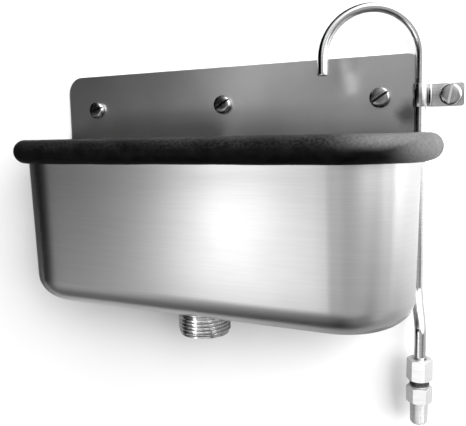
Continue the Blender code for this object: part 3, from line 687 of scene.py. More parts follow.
def make_screw(node, finish):
    """A slotted pan-head wood screw with a helical thread, its axis square to the wall."""
    low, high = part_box(node)
    angles = round_angles()
    crown = HEAD_HEIGHT - HEAD_EDGE
    dome = [(0, HEAD_HEIGHT)]
    for sine, cosine in quarter(3 * SMALL_STEPS, first=1):
        reach = sine**HEAD_SQUARENESS_SHARE
        rise = max(0, cosine) ** HEAD_SQUARENESS_SHARE
        dome.append((HEAD_RADIUS * reach, HEAD_EDGE + crown * rise))
    under = [(HEAD_RADIUS, HEAD_EDGE), (HEAD_RADIUS, 0), (SHANK_RADIUS, 0)]
    profile = [*dome[:-1], *rounded(under, HEAD_ROUND, closed=False)]
    thread_end = SCREW_POINT - SCREW_LENGTH
    depth = SHANK_RADIUS - SHANK_ROOT
    rows = rings(profile, angles)
    rows += thread_rows(-SHANK_PLAIN, thread_end, SHANK_RADIUS, depth, SCREW_PITCH, angles)
    rows += rings([(0, -SCREW_LENGTH)], angles)
    matrix = Matrix.Translation(((low.x + high.x) / 2, high.y - SCREW_LENGTH, (low.z + high.z) / 2))
    matrix = matrix @ OUT_FROM_WALL
    screw = loft(node + "_turned", rows, place=matrix)
    outline = rectangle(HEAD_RADIUS + OVERRUN, DRIVE_SLOT_WIDTH / 2)
    heights = (HEAD_HEIGHT - DRIVE_SLOT_DEPTH, HEAD_HEIGHT + OVERRUN)
    slot_rows = [[(*point, height) for point in outline] for height in heights]
    turn = Matrix.Rotation(SLOT_TURNS[node], 4, "Z")
    slot = loft("slot_tool", slot_rows, caps=True, place=matrix @ turn)
    piece(cut(screw, slot), finish, node)


def tube_route():
    """The tube's centre line, from the spout's tip over the neck and down to the inlet fitting."""
    towards_spout = Vector((-cos(NECK_TURN), -sin(NECK_TURN), 0))
    foot = Vector((TUBE_X, TUBE_Y, NECK_TOP - NECK_RADIUS))
    centre = foot + towards_spout * NECK_RADIUS
    tip = centre + towards_spout * NECK_RADIUS
    mouth = tip - Vector((0, 0, SPOUT_DROP))
    points = [mouth, *between(mouth, tip, SMALL_STEPS)]
    for i in range(NECK_STEPS + 1):
        angle = pi * i / NECK_STEPS
        across = towards_spout * (NECK_RADIUS * cos(angle))
        points.append(centre + across + Vector((0, 0, NECK_RADIUS * sin(angle))))
    points += between(foot, Vector((foot.x, foot.y, JOG_TOP)), 2 * SMALL_STEPS)
    for i in range(JOG_STEPS + 1):
        share = i / JOG_STEPS
        ease = (1 - cos(pi * share)) / 2
        height = JOG_TOP + (JOG_BOTTOM - JOG_TOP) * share
        points.append(Vector((TUBE_X + JOG_RIGHT * ease, TUBE_Y - JOG_FORWARD * ease, height)))
    points.append(Vector((FITTING_X, FITTING_Y, TUBE_LOW.z)))
    return points


def tube_circle(centre, ahead, radius):
    """A ring of points round the tube's line, square to the direction ahead."""
    side = Vector((sin(NECK_TURN), -cos(NECK_TURN), 0))
    across = side.cross(ahead).normalized()
    side = ahead.cross(across).normalized()
    angles = round_angles(TUBE_STEPS)
    return [centre + (across * cos(a) + side * sin(a)) * radius for a in angles]


def make_spout_tube(finish):
    route = tube_route()
    ahead = [(b - a).normalized() for a, b in zip(route, route[1:])]
    directions = [ahead[0], *[(a + b).normalized() for a, b in zip(ahead, ahead[1:])], ahead[-1]]
    outer = [tube_circle(p, d, TUBE_RADIUS) for p, d in zip(route, directions)]
    bore = TUBE_RADIUS - TUBE_WALL
    inner = [tube_circle(p, d, bore) for p, d in zip(route, directions)]
    lip = []
    for sine, cosine in quarter(EDGE_STEPS):
        centre = route[0] + ahead[0] * TUBE_LIP * (1 - cosine)
        lip.append(tube_circle(centre, ahead[0], TUBE_RADIUS - TUBE_LIP * (1 - sine)))
    rows = [*lip, *outer[1:], *reversed(inner)]
    tube = loft("gooseneck_tube", rows, closed=True)
    piece(tube, finish, "spout_tube")


def strap_line():
    """The strap's inner line seen from above, from the plate round the tube to the tongue's end."""
    leg_x = TUBE_X + SNUG_RADIUS
    line = [Vector((TUBE_X - SNUG_RADIUS, PLATE_LOW.y - TUBE_GAP))]
    line += arc((TUBE_X, TUBE_Y), SNUG_RADIUS, -pi, 0, STRAP_STEPS)
    line += arc((leg_x + STRAP_BEND, -STRAP_BEND), STRAP_BEND, pi, QUARTER, SMALL_STEPS)
    end = Vector((STRAP_HIGH.x, 0))
    flat_end = end - Vector((STRAP_TONGUE_CORNER, 0))
    line += between(line[-1], flat_end, SMALL_STEPS)
    for sine, _ in quarter(2 * SMALL_STEPS):
        line.append(end - Vector((STRAP_TONGUE_CORNER * (1 - sine), 0)))
    return line


def make_strap(finish):
    """A bent strip with eased edges, its tongue's corners rounded and its hole round the screw."""
    line = strap_line()
    half_width = (STRAP_HIGH.z - STRAP_LOW.z) / 2
    middle_z = (STRAP_HIGH.z + STRAP_LOW.z) / 2
    rows = []
    for number, point in enumerate(line):
        before = line[max(number - 1, 0)]
        after = line[min(number + 1, len(line) - 1)]
        ahead = (after - before).normalized()
        outward = Vector((ahead.y, -ahead.x))
        into_corner = max(0, STRAP_TONGUE_CORNER - (STRAP_HIGH.x - point.x))
        reach = STRAP_TONGUE_CORNER - sqrt(STRAP_TONGUE_CORNER**2 - into_corner**2)
        width = half_width - reach
        corners = [(0, -width), (0, width), (STRAP_THICKNESS, width), (STRAP_THICKNESS, -width)]
        row = []
        for depth, across in rounded(corners, STRAP_EDGE):
            place = point + outward * depth
            row.append((place.x, place.y, middle_z + across))
        rows.append(row)
    strap = loft("pipe_strap", rows, caps=True)
    low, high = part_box("strap_screw")
    place = Matrix.Translation(((low.x + high.x) / 2, 0, middle_z)) @ OUT_FROM_WALL
    ends = [(SCREW_HOLE_RADIUS, -OVERRUN), (SCREW_HOLE_RADIUS, OVERRUN)]
    hole = loft("hole_tool", rings(ends, round_angles()), caps=True, place=place)
    piece(cut(strap, hole), finish, "tube_strap")


def hexagon_points(turn):
    """A hexagon's outline with slightly rounded corners."""
    corner_radius = HEX_FLAT_RADIUS / cos(pi / HEX_SIDES)
    corners = arc((0, 0), corner_radius, turn, turn + tau, HEX_SIDES)[:-1]
    eased = rounded(corners, HEX_CORNER_ROUND, steps=SMALL_STEPS)
    points = []
    for point, after in zip(eased, [*eased[1:], eased[0]]):
        points.append(point)
        if (after - point).length > HEX_CORNER_ROUND:
            points += between(point, after, SMALL_STEPS)
    return points


def hexagon_rows(outline, top, bottom):
    """A hexagonal bar's rows, its corners turned off to a cone at top and bottom."""
    face = HEX_FLAT_RADIUS * HEX_FACE_SHARE
    drops = [(point.length - face) * HEX_CHAMFER_SLOPE for point in outline]
    flat = [point.normalized() * face for point in outline]
    return [
        [(*point, top) for point in flat],
        [(*point, top - drop) for point, drop in zip(outline, drops)],
        [(*point, bottom + drop) for point, drop in zip(outline, drops)],
        [(*point, bottom) for point in flat],
    ]


def make_nut(finish):
    outline = hexagon_points(NUT_TURN)
    angles = [atan2(point.y, point.x) for point in outline]
    top, bottom = NUT_HIGH.z, NUT_LOW.z
    thread = NUT_THREAD_RADIUS + TUBE_GAP
    shoulder = top - NUT_SHOULDER
    bore = [(thread, bottom), (thread, shoulder), (SNUG_RADIUS, shoulder), (SNUG_RADIUS, top)]
    rows = hexagon_rows(outline, top, bottom) + rings(bore, angles)
    nut = loft("compression_nut_hex", rows, closed=True, place=FITTING_PLACE)
    piece(nut, finish, "compression_nut")


def make_connector(finish):
    """The inlet body: a compression thread, a hexagon and a tapered pipe thread round one bore."""
    outline = hexagon_points(BODY_TURN)
    angles = [atan2(point.y, point.x) for point in outline]
    top, bottom = BODY_HIGH.z, BODY_LOW.z
    hex_bottom = BODY_HEX_TOP - BODY_HEX_LENGTH
    rows = thread_rows(
        top, BODY_HEX_TOP, NUT_THREAD_RADIUS, NUT_THREAD_DEPTH, NUT_THREAD_PITCH, angles
    )
    rows += hexagon_rows(outline, BODY_HEX_TOP, hex_bottom)
    rows += thread_rows(
        hex_bottom, bottom, PIPE_THREAD_RADIUS, PIPE_THREAD_DEPTH, PIPE_THREAD_PITCH, angles,
        taper=PIPE_THREAD_TAPER_SHARE,
    )
    bore = [
        (BODY_BORE_RADIUS, bottom),
        (BODY_BORE_RADIUS, top - SOCKET_DEPTH),
        (SNUG_RADIUS, top - SOCKET_DEPTH),
        (SNUG_RADIUS, top - SEAT_DEPTH),
        (SEAT_TIP_RADIUS, top - SEAT_DEPTH),
        (SEAT_RADIUS, top),
    ]
    rows += rings(bore, angles)
    body = loft("inlet_body", rows, closed=True, place=FITTING_PLACE)
    piece(body, finish, "inlet_connector")


def make_drain_nipple(finish):
    """A threaded nipple, welded under the basin, its thread running out below a plain neck."""
    angles = round_angles(2 * ROUND_STEPS)
    top, bottom = BASIN_LOW.z, DRAIN_LOW.z
    thread_top = DRAIN_HIGH.z - DRAIN_PLAIN
    thread_bottom = bottom + DRAIN_CHAMFER
    neck = [(DRAIN_RADIUS, top), (DRAIN_RADIUS, thread_top + DRAIN_THREAD_DEPTH)]
    rows = rings(neck, angles)
    rows += thread_rows(
        thread_top, thread_bottom, DRAIN_RADIUS, DRAIN_THREAD_DEPTH, DRAIN_PITCH, angles,
        fading_turns=DRAIN_FADING_TURNS,
    )
    end = [(DRAIN_ROOT, bottom), (DRAIN_BORE_RADIUS, bottom), (DRAIN_BORE_RADIUS, top)]
    rows += rings(end, angles)
    nipple = loft("drain_thread", rows, closed=True, place=DRAIN_PLACE)
    piece(nipple, finish, "drain_nipple")


def make_overflow_tube(finish):
    """The lift-out standpipe, its four notches cut by two bars across its top."""
    corners = hollow(PIPE_RADIUS, PIPE_RADIUS - PIPE_WALL, PIPE_HIGH.z, PIPE_LOW.z)
    pipe = turned("standpipe", corners, PIPE_EDGE, steps=2 * ROUND_STEPS)
    half = NOTCH_WIDTH / 2
    low, high = PIPE_HIGH.z - NOTCH_DEPTH, PIPE_HIGH.z + OVERRUN
    notch = rounded([(-half, high), (-half, low), (half, low), (half, high)], NOTCH_ROUND)
    reach = PIPE_RADIUS + OVERRUN
    rows = [[(across, along, height) for across, height in notch] for along in (-reach, reach)]
    tools = []
    for turn in (pi / 4, -pi / 4):
        place = DRAIN_PLACE @ Matrix.Rotation(turn, 4, "Z")
        tools.append(loft("notch_tool", rows, caps=True, place=place))
    piece(cut(pipe, *tools), finish, "overflow_tube", "overflow")


def make_overflow_plug(finish):
    """The foot that closes the drain, with a spigot below and the standpipe's socket above."""
    high, low = PLUG_HIGH.z, PLUG_LOW.z
    collar_bottom = high - PLUG_COLLAR_HEIGHT
    socket_bottom = high - PLUG_SOCKET_DEPTH
    corners = [
        (PLUG_RADIUS - PLUG_CHAMFER, high),
        (PLUG_RADIUS, high - PLUG_CHAMFER),
        (PLUG_RADIUS, collar_bottom),
        (PLUG_SPIGOT_RADIUS, collar_bottom),
        (PLUG_SPIGOT_RADIUS, low + PLUG_LEAD_IN),
        (PLUG_SPIGOT_RADIUS - PLUG_LEAD_IN_STEP, low),
        (PLUG_BORE_RADIUS, low),
        (PLUG_BORE_RADIUS, socket_bottom),
        (PIPE_RADIUS + TUBE_GAP, socket_bottom),
        (PIPE_RADIUS + TUBE_GAP, high),
    ]
    plug = turned("standpipe_plug", corners, PLUG_EDGE)
    piece(plug, finish, "overflow_plug", "overflow")


def make_overflow_seal(finish):
    corners = hollow(SEAL_RADIUS, PLUG_SPIGOT_RADIUS + TUBE_GAP, SEAL_HIGH.z, SEAL_LOW.z)
    seal = turned("plug_washer", corners, SEAL_EDGE)
    piece(seal, finish, "overflow_seal", "overflow")


class Nodes:
    """Short calls that add nodes to a shader tree."""

    def __init__(self, tree):
        self.tree = tree

    def node(self, kind, values=(), **settings):
        """A shader node with its settings, and its inputs linked or set."""
        made = self.tree.nodes.new("ShaderNode" + kind)
        for key, value in settings.items():
            setattr(made, key, value)
        for key, value in dict(values).items():
            if isinstance(value, bpy.types.NodeSocket):
                self.tree.links.new(value, made.inputs[key])
            else:
                made.inputs[key].default_value = value
        return made

    def fit(self, value, span, low=0, high=1):
        """A value moved from a span to the range from low to high, and held inside it."""
        values = dict(enumerate((value, *span, low, high)))
        return self.node("MapRange", values, interpolation_type="SMOOTHSTEP").outputs[0]

    def maths(self, operation, first, second=0.0):
        return self.node("Math", {0: first, 1: second}, operation=operation).outputs[0]

    def times(self, first, second):
        return self.maths("MULTIPLY", first, second)

    def vectors(self, operation, first, second=(0, 0, 0)):
        """A sum with vectors, which gives a number or a vector."""
        made = self.node("VectorMath", {0: first, 1: second}, operation=operation)
        number = operation in ("DISTANCE", "DOT_PRODUCT", "LENGTH")
        return made.outputs["Value" if number else "Vector"]

    def mixed(self, factor, first, second):
        """Two colours, or colour outputs, mixed."""
        values = {0: factor, 6: first, 7: second}
        return self.node("Mix", values, data_type="RGBA").outputs[2]

    def part(self, vector, axis):
        return self.node("SeparateXYZ", {0: vector}).outputs[axis]


class Finish(Nodes):
    """A material with one Principled shader, and short calls for the textures behind it."""

    def __init__(self, name, metallic, **inputs):
        self.material = bpy.data.materials.new(name)
        self.material.use_nodes = True
        super().__init__(self.material.node_tree)
        self.shader = self.tree.nodes["Principled BSDF"]
        self.shader.inputs["Metallic"].default_value = metallic
        for key, value in inputs.items():
            self.shader.inputs[key.replace("_", " ")].default_value = value
        self.place = self.node("TexCoord").outputs["Object"]

    def noise(self, pattern, place=None):
        """Noise from 0 to 1, in a pattern of features to the metre along each axis, and detail."""
        stretch, detail = pattern
        scaled = self.vectors("MULTIPLY", place or self.place, stretch)
        values = {"Vector": scaled, "Scale": 1, "Detail": detail}
        return self.node("TexNoise", values).outputs[0]

    def upward(self):
        """How far the surface faces up, from -1 to 1."""
        return self.part(self.node("NewGeometry").outputs["Normal"], "Z")

    def from_axis(self):
        """Distance from the piece's own upright axis."""
        return self.vectors("LENGTH", self.vectors("MULTIPLY", self.place, (1, 1, 0)))

    def greys(self, noise, span, dark, light):
        """A grey that goes from dark to light over a span of a noise."""
        return self.mixed(self.fit(noise, span), grey(dark), grey(light))

    def set(self, name, output):
        self.tree.links.new(output, self.shader.inputs[name])

    def roughen(self, noise, span, low, high):
        """Roughness from low to high over a span of a noise."""
        self.shader.inputs["Roughness"].default_value = (low + high) / 2
        self.set("Roughness", self.fit(noise, span, low, high))

    def bump(self, height, strength, distance):
        values = {"Height": height, "Strength": strength, "Distance": distance}
        self.set("Normal", self.node("Bump", values).outputs[0])


def grey(value):
    return (value, value, value, 1)


def brushed_steel(name, dark, light, roughness, painted_shade_place=None):
    """Steel brushed along its length: fine and wide level streaks, smudges and maybe a painted patch
    of shade.
    """
    made = Finish(name, 1, Anisotropic=ANISOTROPY, Anisotropic_Rotation=ANISOTROPY_TURN)
    made.set("Tangent", made.node("Tangent", direction_type="RADIAL", axis="Z").outputs[0])
    level_face = made.fit(made.maths("ABSOLUTE", made.upward()), LEVEL_FACE_SPAN)
    fine = made.mixed(level_face, made.noise(UPRIGHT_STREAKS), made.noise(LEVEL_STREAKS))
    fine = made.times(fine, FINE_SHARE)
    wide = made.times(made.noise(WIDE_STREAKS), 1 - FINE_SHARE)
    colour = made.greys(made.maths("ADD", fine, wide), STREAK_SPAN, dark, light)
    # Painted shade: a dark patch with a ragged edge, fading out from its middle
    if painted_shade_place:
        away = made.vectors("DISTANCE", made.place, painted_shade_place)
        ragged = made.times(made.noise(PAINTED_SHADE_EDGE), PAINTED_SHADE_RAGGED)
        painted_shade = made.fit(made.maths("ADD", away, ragged), PAINTED_SHADE_SPAN, PAINTED_SHADE_SHARE, 0)
        colour = made.mixed(painted_shade, colour, grey(PAINTED_SHADE_GREY_SHARE * dark))
    made.set("Base Color", colour)
    smudge = made.noise(SMUDGES)
    made.roughen(smudge, EVEN_SPAN, roughness - SMUDGE_ROUGHNESS, roughness + SMUDGE_ROUGHNESS)
    return made.material


def black_rubber(name):
    """Matt black rubber: a mottled bloom, paler where dust settles, with a painted sheen on its right
    end and the upper faces near it.
    """
    made = Finish(name, 0, Specular_IOR_Level=RUBBER_SPECULAR)
    mottle = made.noise(MOTTLE)
    specks = made.noise(SPECKS)
    upward = made.upward()
    dust = made.fit(made.noise(RUBBER_BLOOM), BLOOM_SPAN, DUST_LEAST_BLOOM)
    dust = made.times(dust, made.fit(specks, DUST_SPAN, DUST_LEAST_SPECK))
    dust = made.times(dust, made.fit(upward, DUST_FACING))
    base = made.mixed(dust, made.greys(mottle, PATCH_SPAN, *RUBBER_GREYS), grey(DUST_GREY))
    across = made.part(made.place, "X")
    # Painted sheen: paler towards the right end and on the upper faces there, for light from the right
    painted_sheen = made.fit(across, PAINTED_SHEEN_SPAN, 0, PAINTED_SHEEN_SHARE)
    painted_sheen = made.times(painted_sheen, made.fit(upward, PAINTED_SHEEN_FACING))
    painted_sheen = made.maths("MAXIMUM", painted_sheen, made.fit(across, PAINTED_SHEEN_END_SPAN, 0, PAINTED_SHEEN_END_SHARE))
    painted_sheen = made.times(painted_sheen, made.fit(specks, PAINTED_SHEEN_SPECK_SPAN, PAINTED_SHEEN_LEAST_SPECK))
    made.set("Base Color", made.mixed(painted_sheen, base, grey(PAINTED_SHEEN_GREY)))
    made.roughen(mottle, EVEN_SPAN, *RUBBER_ROUGHNESS)
    made.bump(made.noise(PORES), *RUBBER_BUMP)
    return made.material


def polished_steel(name, dark, light):
    """Drawn and polished steel: near-mirror, with faint rings and fingerprints' soft patches."""
    made = Finish(name, 1)
    rings = made.noise(DRAWN_RINGS)
    made.set("Base Color", made.greys(rings, RING_SPAN, dark, light))
    made.roughen(made.noise(FINGERPRINTS), PATCH_SPAN, *POLISHED_ROUGHNESS)
    made.bump(rings, *POLISHED_BUMP)
    return made.material


def turned_steel(name, root, crest, roughness=TURNED_ROUGHNESS, metallic=1.0, painted_shade_above=0.0):
    """Turned steel, darker nearer its axis between two radii, more so in stained patches, and with
    painted shade above a height.
    """
    made = Finish(name, metallic)
    rings = made.noise(TURNED_RINGS)
    stain = made.noise(STAINS)
    base = made.greys(rings, RING_SPAN, *TURNED_GREYS)
    # Darker nearer the axis between the two radii, such as a thread's roots, more so in stained
    # patches
    depth = made.fit(made.fit(made.from_axis(), (root, crest)), (0, 1), 1, 0)
    root_darkening = made.times(made.fit(stain, ROOT_DARKENING_SPAN, ROOT_DARKENING_LEAST_STAIN), depth)
    base = made.mixed(made.times(root_darkening, ROOT_DARKENING_SHARE), base, grey(ROOT_DARKENING_GREY))
    # Painted shade above a height, under the nut on the inlet
    painted_nut_shade_span = (painted_shade_above, painted_shade_above + PAINTED_NUT_SHADE_FADE)
    painted_nut_shade = made.fit(made.part(made.place, "Z"), painted_nut_shade_span, 0, PAINTED_NUT_SHADE_SHARE)
    made.set("Base Color", made.mixed(painted_nut_shade, base, grey(PAINTED_NUT_SHADE_GREY)))
    made.roughen(stain, EVEN_SPAN, *(roughness + change for change in STAIN_ROUGHNESS))
    made.bump(rings, *TURNED_BUMP)
    return made.material


def screw_steel(name, shade, painted_slot_grey):
    """Plated steel, ringed and dulled, with painted shade round its foot and on its lower left rim, a
    painted highlight on its upper right rim, and a slot of its own painted grey.
    """
    made = Finish(name, 1)
    radius = made.from_axis()
    rings = made.noise(HEAD_RINGS, made.node("CombineXYZ", {"X": radius}).outputs[0])
    bloom = made.noise(HEAD_BLOOM)
    base = made.greys(rings, EVEN_SPAN, *(share * shade for share in HEAD_RING_SHARES))
    dull = made.fit(bloom, DULL_BLOOM_SPAN, 0, HEAD_BLOOM_SHARE)
    base = made.mixed(dull, base, grey(HEAD_DULL_SHARE * shade))
    height = made.part(made.place, "Z")
    # Painted shade round the head's foot
    painted_foot_shade = made.fit(height, PAINTED_FOOT_SHADE_SPAN, PAINTED_FOOT_SHADE_SHARE, 0)
    base = made.mixed(painted_foot_shade, base, grey(PAINTED_FOOT_SHADE_GREY))
    across = made.maths("ADD", made.part(made.place, "X"), made.part(made.place, "Y"))
    rim = made.fit(radius, RIM_SPAN, 0, RIM_SHARE)
    # Painted highlight: the rim's upper right lifted to a near-white grey
    painted_highlight = made.times(made.fit(across, PAINTED_HIGHLIGHT_SPAN), rim)
    base = made.mixed(painted_highlight, base, grey(PAINTED_HIGHLIGHT_GREY))
    # Painted shade: the rim's lower left darkened nearly to black
    painted_rim_shade = made.times(made.fit(across, PAINTED_RIM_SHADE_SPAN, 1, 0), rim)
    base = made.mixed(painted_rim_shade, base, grey(PAINTED_RIM_SHADE_GREY))
    # Painted slot: the slot's floor takes its own grey, painted shade on the plate screws and a
    # painted highlight on the strap screw
    inside = made.fit(radius, SLOT_REACH_SPAN, 1, 0)
    slot = made.times(made.fit(height, SLOT_DEPTH_SPAN, 1, 0), inside)
    made.set("Base Color", made.mixed(slot, base, grey(painted_slot_grey)))
    made.roughen(bloom, BLOOM_SPAN, *HEAD_ROUGHNESS)
    made.bump(rings, *HEAD_BUMP)
    return made.material


def turned_brass(name):
    made = Finish(name, 1)
    rings = made.noise(BRASS_RINGS)
    made.set("Base Color", made.mixed(made.fit(rings, EVEN_SPAN), BRASS_DARK, BRASS_LIGHT))
    made.roughen(made.noise(BRASS_STAINS), EVEN_SPAN, *BRASS_ROUGHNESS)
    made.bump(rings, *BRASS_BUMP)
    return made.material


def make_pieces():
    rubber = black_rubber("moulding_rubber")
    tube_steel = polished_steel("polished_tube_steel", *TUBE_GREYS)
    plating = screw_steel("screw_plating", *SCREW_GREYS)
    strap_plating = screw_steel("strap_screw_plating", *STRAP_SCREW_GREYS)
    make_basin(brushed_steel("basin_brushed_steel", *BASIN_STEEL))
    make_back_plate(brushed_steel("plate_brushed_steel", *PLATE_STEEL, PAINTED_SHADE_PLACE))
    make_bumper(rubber)
    for node in SLOT_TURNS:
        make_screw(node, strap_plating if node == "strap_screw" else plating)
    make_spout_tube(tube_steel)
    make_strap(polished_steel("polished_strap_steel", *STRAP_GREYS))
    make_nut(turned_steel("nut_steel", SNUG_RADIUS, NUT_THREAD_RADIUS, metallic=FITTING_METALLIC))
    inlet_steel = turned_steel(
        "inlet_steel", BODY_BORE_RADIUS, PIPE_THREAD_RADIUS, metallic=FITTING_METALLIC,
        painted_shade_above=BODY_HEX_TOP,
    )
    make_connector(inlet_steel)
    make_drain_nipple(turned_steel("drain_steel", DRAIN_ROOT, DRAIN_RADIUS, DRAIN_ROUGHNESS))
    make_overflow_tube(tube_steel)
    make_overflow_plug(turned_steel("plug_steel", 0, PLUG_BORE_RADIUS))
    make_overflow_seal(rubber)
    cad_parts["compression_ferrule"].material_slots[0].material = turned_brass("ferrule_brass")


# Camera, found by fitting the object's edges in the photograph
CAMERA_PLACE = Vector((0.183661, -0.359472, 0.007381))
CAMERA_YAW = radians(26.435)
CAMERA_PITCH = radians(-7.138)
CAMERA_ROLL = radians(-1.134)
CAMERA_LENS = 47.277
CAMERA_SENSOR = 36

# Room: a pale wall that shows only from the front, soft lamps, and patches of light all round
WALL_PLACE = 0.0006
WALL_HALF_WIDTH = 3
WALL_SHADE = 0.76
DIM_WALL_SHADE = 0.05
# The wall's glow rises towards the upper right: the share of height in that, its span, its strength
GLOW_HEIGHT_SHARE = 0.6
WALL_SPAN = (-0.02, 0.13)
WALL_GLOW = 0.55
# The same for its glow in reflections
REFLECTED_HEIGHT_SHARE = 1.7
REFLECTED_SPAN = (0.1, 0.28)
REFLECTED_GLOW = 0.5
# In reflections its far left is dim, down to a height, and so is some of its foot
DIM_LEFT_SPAN = (-0.24, -0.15)
DIM_LEFT_HEIGHTS = (-0.3, -0.2)
DIM_FOOT_SPAN = (-0.17, 0)
DIM_FOOT_SHARE = 0.78
DIM_FOOT_ENDS = (-0.1, 0.12)
DIM_END_SHARES = (0.55, 0.92)
# What lies close against the wall reflects this glow, which shows from behind
CLOSE_TO_WALL = 0.0025
CLOSE_GLOW = 0.5

# Directions are degrees: azimuth to the right of straight out from the wall, then elevation
BASIN_AIM = (0.03, -0.067, -0.036)
PLATE_AIM = (0.085, -0.001, 0.036)
DRAIN_AIM = (DRAIN_X, DRAIN_Y, DRAIN_LOW.z)
FITTING_AIM = (FITTING_X, FITTING_Y, NUT_LOW.z)
RIM_AIM = (0.12, -0.04, 0)
# Aim, azimuth, elevation, distance, width, height, brightness
LAMPS = {
    "key_lamp": (BASIN_AIM, 52, 15, 1.3, 0.7, 0.9, 12),
    "front_lamp": (BASIN_AIM, -22.5, -16, 1.1, 0.41, 0.50, 1.24),
    "glint_lamp": (BASIN_AIM, -27.2, -11, 1.1, 0.14, 0.09, 6),
    "patch_lamp": (PLATE_AIM, -15.7, 4.6, 0.014, 0.006, 0.011, 0.55),
    "band_lamp": (PLATE_AIM, -27, 10, 1.2, 0.12, 0.16, 3.8),
    "right_lamp": (BASIN_AIM, 82, 10, 1.2, 0.34, 0.9, 0.82),
    "drain_lamp": (DRAIN_AIM, -17, -8, 0.7, 0.08, 0.9, 3.4),
    "fitting_lamp": (FITTING_AIM, 6, -14, 0.6, 1.0, 0.5, 0.36),
    "rim_lamp": (RIM_AIM, 90, 33, 0.8, 0.6, 0.6, 3.6),
    "top_lamp": (BASIN_AIM, 10, 72, 1.2, 1.1, 0.8, 1.9),
}
# Lamps that light only the pieces named, and lamps that reflections don't show
PIECE_LAMPS = {
    "patch_lamp": ("back_plate_sheet",),
    "band_lamp": ("back_plate_sheet",),
    "drain_lamp": ("drain_thread",),
    "fitting_lamp": ("compression_nut_hex", "inlet_body", "drain_thread"),
    "rim_lamp": ("rim_moulding",),
}
HIDDEN_LAMPS = ("key_lamp", "top_lamp")
# Azimuth, elevation, radius of the even middle, radius of the whole, strength
SURROUNDINGS = (
    (18, -3, 22, 42, 0.38),
    (60, 35, 14, 48, 3.3),
    (-4, -12, 3, 18, 0.27),
    (0, 30, 10, 30, 0.85),
    (10, -20, 8, 28, 0.1),
    (90, -30, 10, 30, 0.38),
    (62, -42, 15, 40, 0.2),
    (-38, -22, 6, 26, 0.3),
    (-60, -40, 10, 30, 0.14),
    (-25, -40, 8, 28, 0.1),
    (180, 15, 30, 75, 0.6),
)


def make_camera():
    data = bpy.data.cameras.new("camera")
    data.lens = CAMERA_LENS
    data.sensor_width = CAMERA_SENSOR
    camera = bpy.data.objects.new("camera", data)
    turn = Matrix.Rotation(CAMERA_YAW, 4, "Z") @ Matrix.Rotation(QUARTER + CAMERA_PITCH, 4, "X")
    roll = Matrix.Rotation(CAMERA_ROLL, 4, "Z")
    camera.matrix_world = Matrix.Translation(CAMERA_PLACE) @ turn @ roll
    show(camera)
    bpy.context.scene.camera = camera


def wall_material():
    """Pale matt paint, clear from behind, with its own glow for the camera and for reflections."""
    made = Finish("wall_paint", 0, Roughness=1, Specular_IOR_Level=0, Emission_Color=grey(1))
    rays = made.node("LightPath").outputs
    across = made.part(made.place, "X")
    height = made.part(made.place, "Z")
    slope = made.maths("ADD", across, made.times(height, GLOW_HEIGHT_SHARE))
    seen = made.times(rays["Is Camera Ray"], made.fit(slope, WALL_SPAN, 0, WALL_GLOW))
    slope = made.maths("ADD", across, made.times(height, REFLECTED_HEIGHT_SHARE))
    glow = made.fit(slope, REFLECTED_SPAN, 0, REFLECTED_GLOW)
    close = made.maths("LESS_THAN", rays["Ray Length"], CLOSE_TO_WALL)
    glow = made.maths("MAXIMUM", glow, made.times(close, CLOSE_GLOW))
    reflected = made.times(rays["Is Glossy Ray"], glow)
    left = made.fit(across, DIM_LEFT_SPAN, 1, 0)
    left = made.times(left, made.fit(height, DIM_LEFT_HEIGHTS))
    foot = made.fit(height, DIM_FOOT_SPAN, DIM_FOOT_SHARE, 0)
    foot = made.times(foot, made.fit(across, DIM_FOOT_ENDS, *DIM_END_SHARES))
    dim = made.times(rays["Is Glossy Ray"], made.maths("MAXIMUM", left, foot))
    made.set("Base Color", made.mixed(dim, grey(WALL_SHADE), grey(DIM_WALL_SHADE)))
    made.set("Emission Strength", made.maths("ADD", seen, reflected))
    behind = made.node("NewGeometry").outputs["Backfacing"]
    clear = made.node("BsdfTransparent").outputs[0]
    mix = made.node("MixShader", {0: behind, 1: made.shader.outputs[0], 2: clear})
    made.tree.links.new(mix.outputs[0], made.tree.nodes["Material Output"].inputs["Surface"])
    return made.material


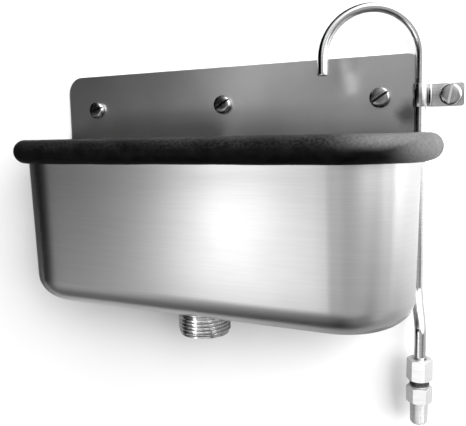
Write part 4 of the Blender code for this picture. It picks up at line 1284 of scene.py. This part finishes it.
def make_wall():
    """The stage's one surface: a square of wall."""
    corners = rectangle(WALL_HALF_WIDTH, WALL_HALF_WIDTH)
    work = bmesh.new()
    work.faces.new([work.verts.new((x, WALL_PLACE, z)) for x, z in corners])
    wall = mesh_object("wall", work)
    wall.data.materials.append(wall_material())
    show(wall)


def towards(azimuth, elevation):
    """The direction of an azimuth and an elevation in degrees."""
    azimuth, elevation = radians(azimuth), radians(elevation)
    level = cos(elevation)
    return Vector((sin(azimuth) * level, -cos(azimuth) * level, sin(elevation)))


def make_lights():
    """Rectangular soft lamps that face what they light and stay out of the camera's view."""
    for name, (aim, azimuth, elevation, distance, width, height, brightness) in LAMPS.items():
        direction = towards(azimuth, elevation)
        data = bpy.data.lights.new(name, "AREA")
        data.shape = "RECTANGLE"
        data.size = width
        data.size_y = height
        data.energy = brightness * pi * width * height
        obj = bpy.data.objects.new(name, data)
        obj.location = Vector(aim) + direction * distance
        obj.rotation_euler = direction.to_track_quat("Z", "Y").to_euler()
        obj.visible_camera = False
        obj.visible_glossy = name not in HIDDEN_LAMPS
        if name in PIECE_LAMPS:
            lit = bpy.data.collections.new(name + "_pieces")
            for piece_name in PIECE_LAMPS[name]:
                lit.objects.link(bpy.data.objects[piece_name])
            obj.light_linking.receiver_collection = lit
        show(obj)


def make_world():
    """Soft patches of light all round, and white for what the camera sees past the wall."""
    world = bpy.data.worlds.new("studio")
    world.use_nodes = True
    bpy.context.scene.world = world
    made = Nodes(world.node_tree)
    place = made.node("TexCoord").outputs["Generated"]
    total = 0
    for azimuth, elevation, middle, edge, strength in SURROUNDINGS:
        facing = made.vectors("DOT_PRODUCT", place, towards(azimuth, elevation))
        span = (cos(radians(edge)), cos(radians(middle)))
        total = made.maths("ADD", made.fit(facing, span, 0, strength), total)
    camera_ray = made.node("LightPath").outputs["Is Camera Ray"]
    background = made.tree.nodes["Background"].inputs
    background["Color"].default_value = grey(1)
    made.tree.links.new(made.maths("MAXIMUM", total, camera_ray), background["Strength"])


make_camera()
make_pieces()
make_wall()
make_lights()
make_world()
bpy.context.scene.view_settings.view_transform = "Standard"
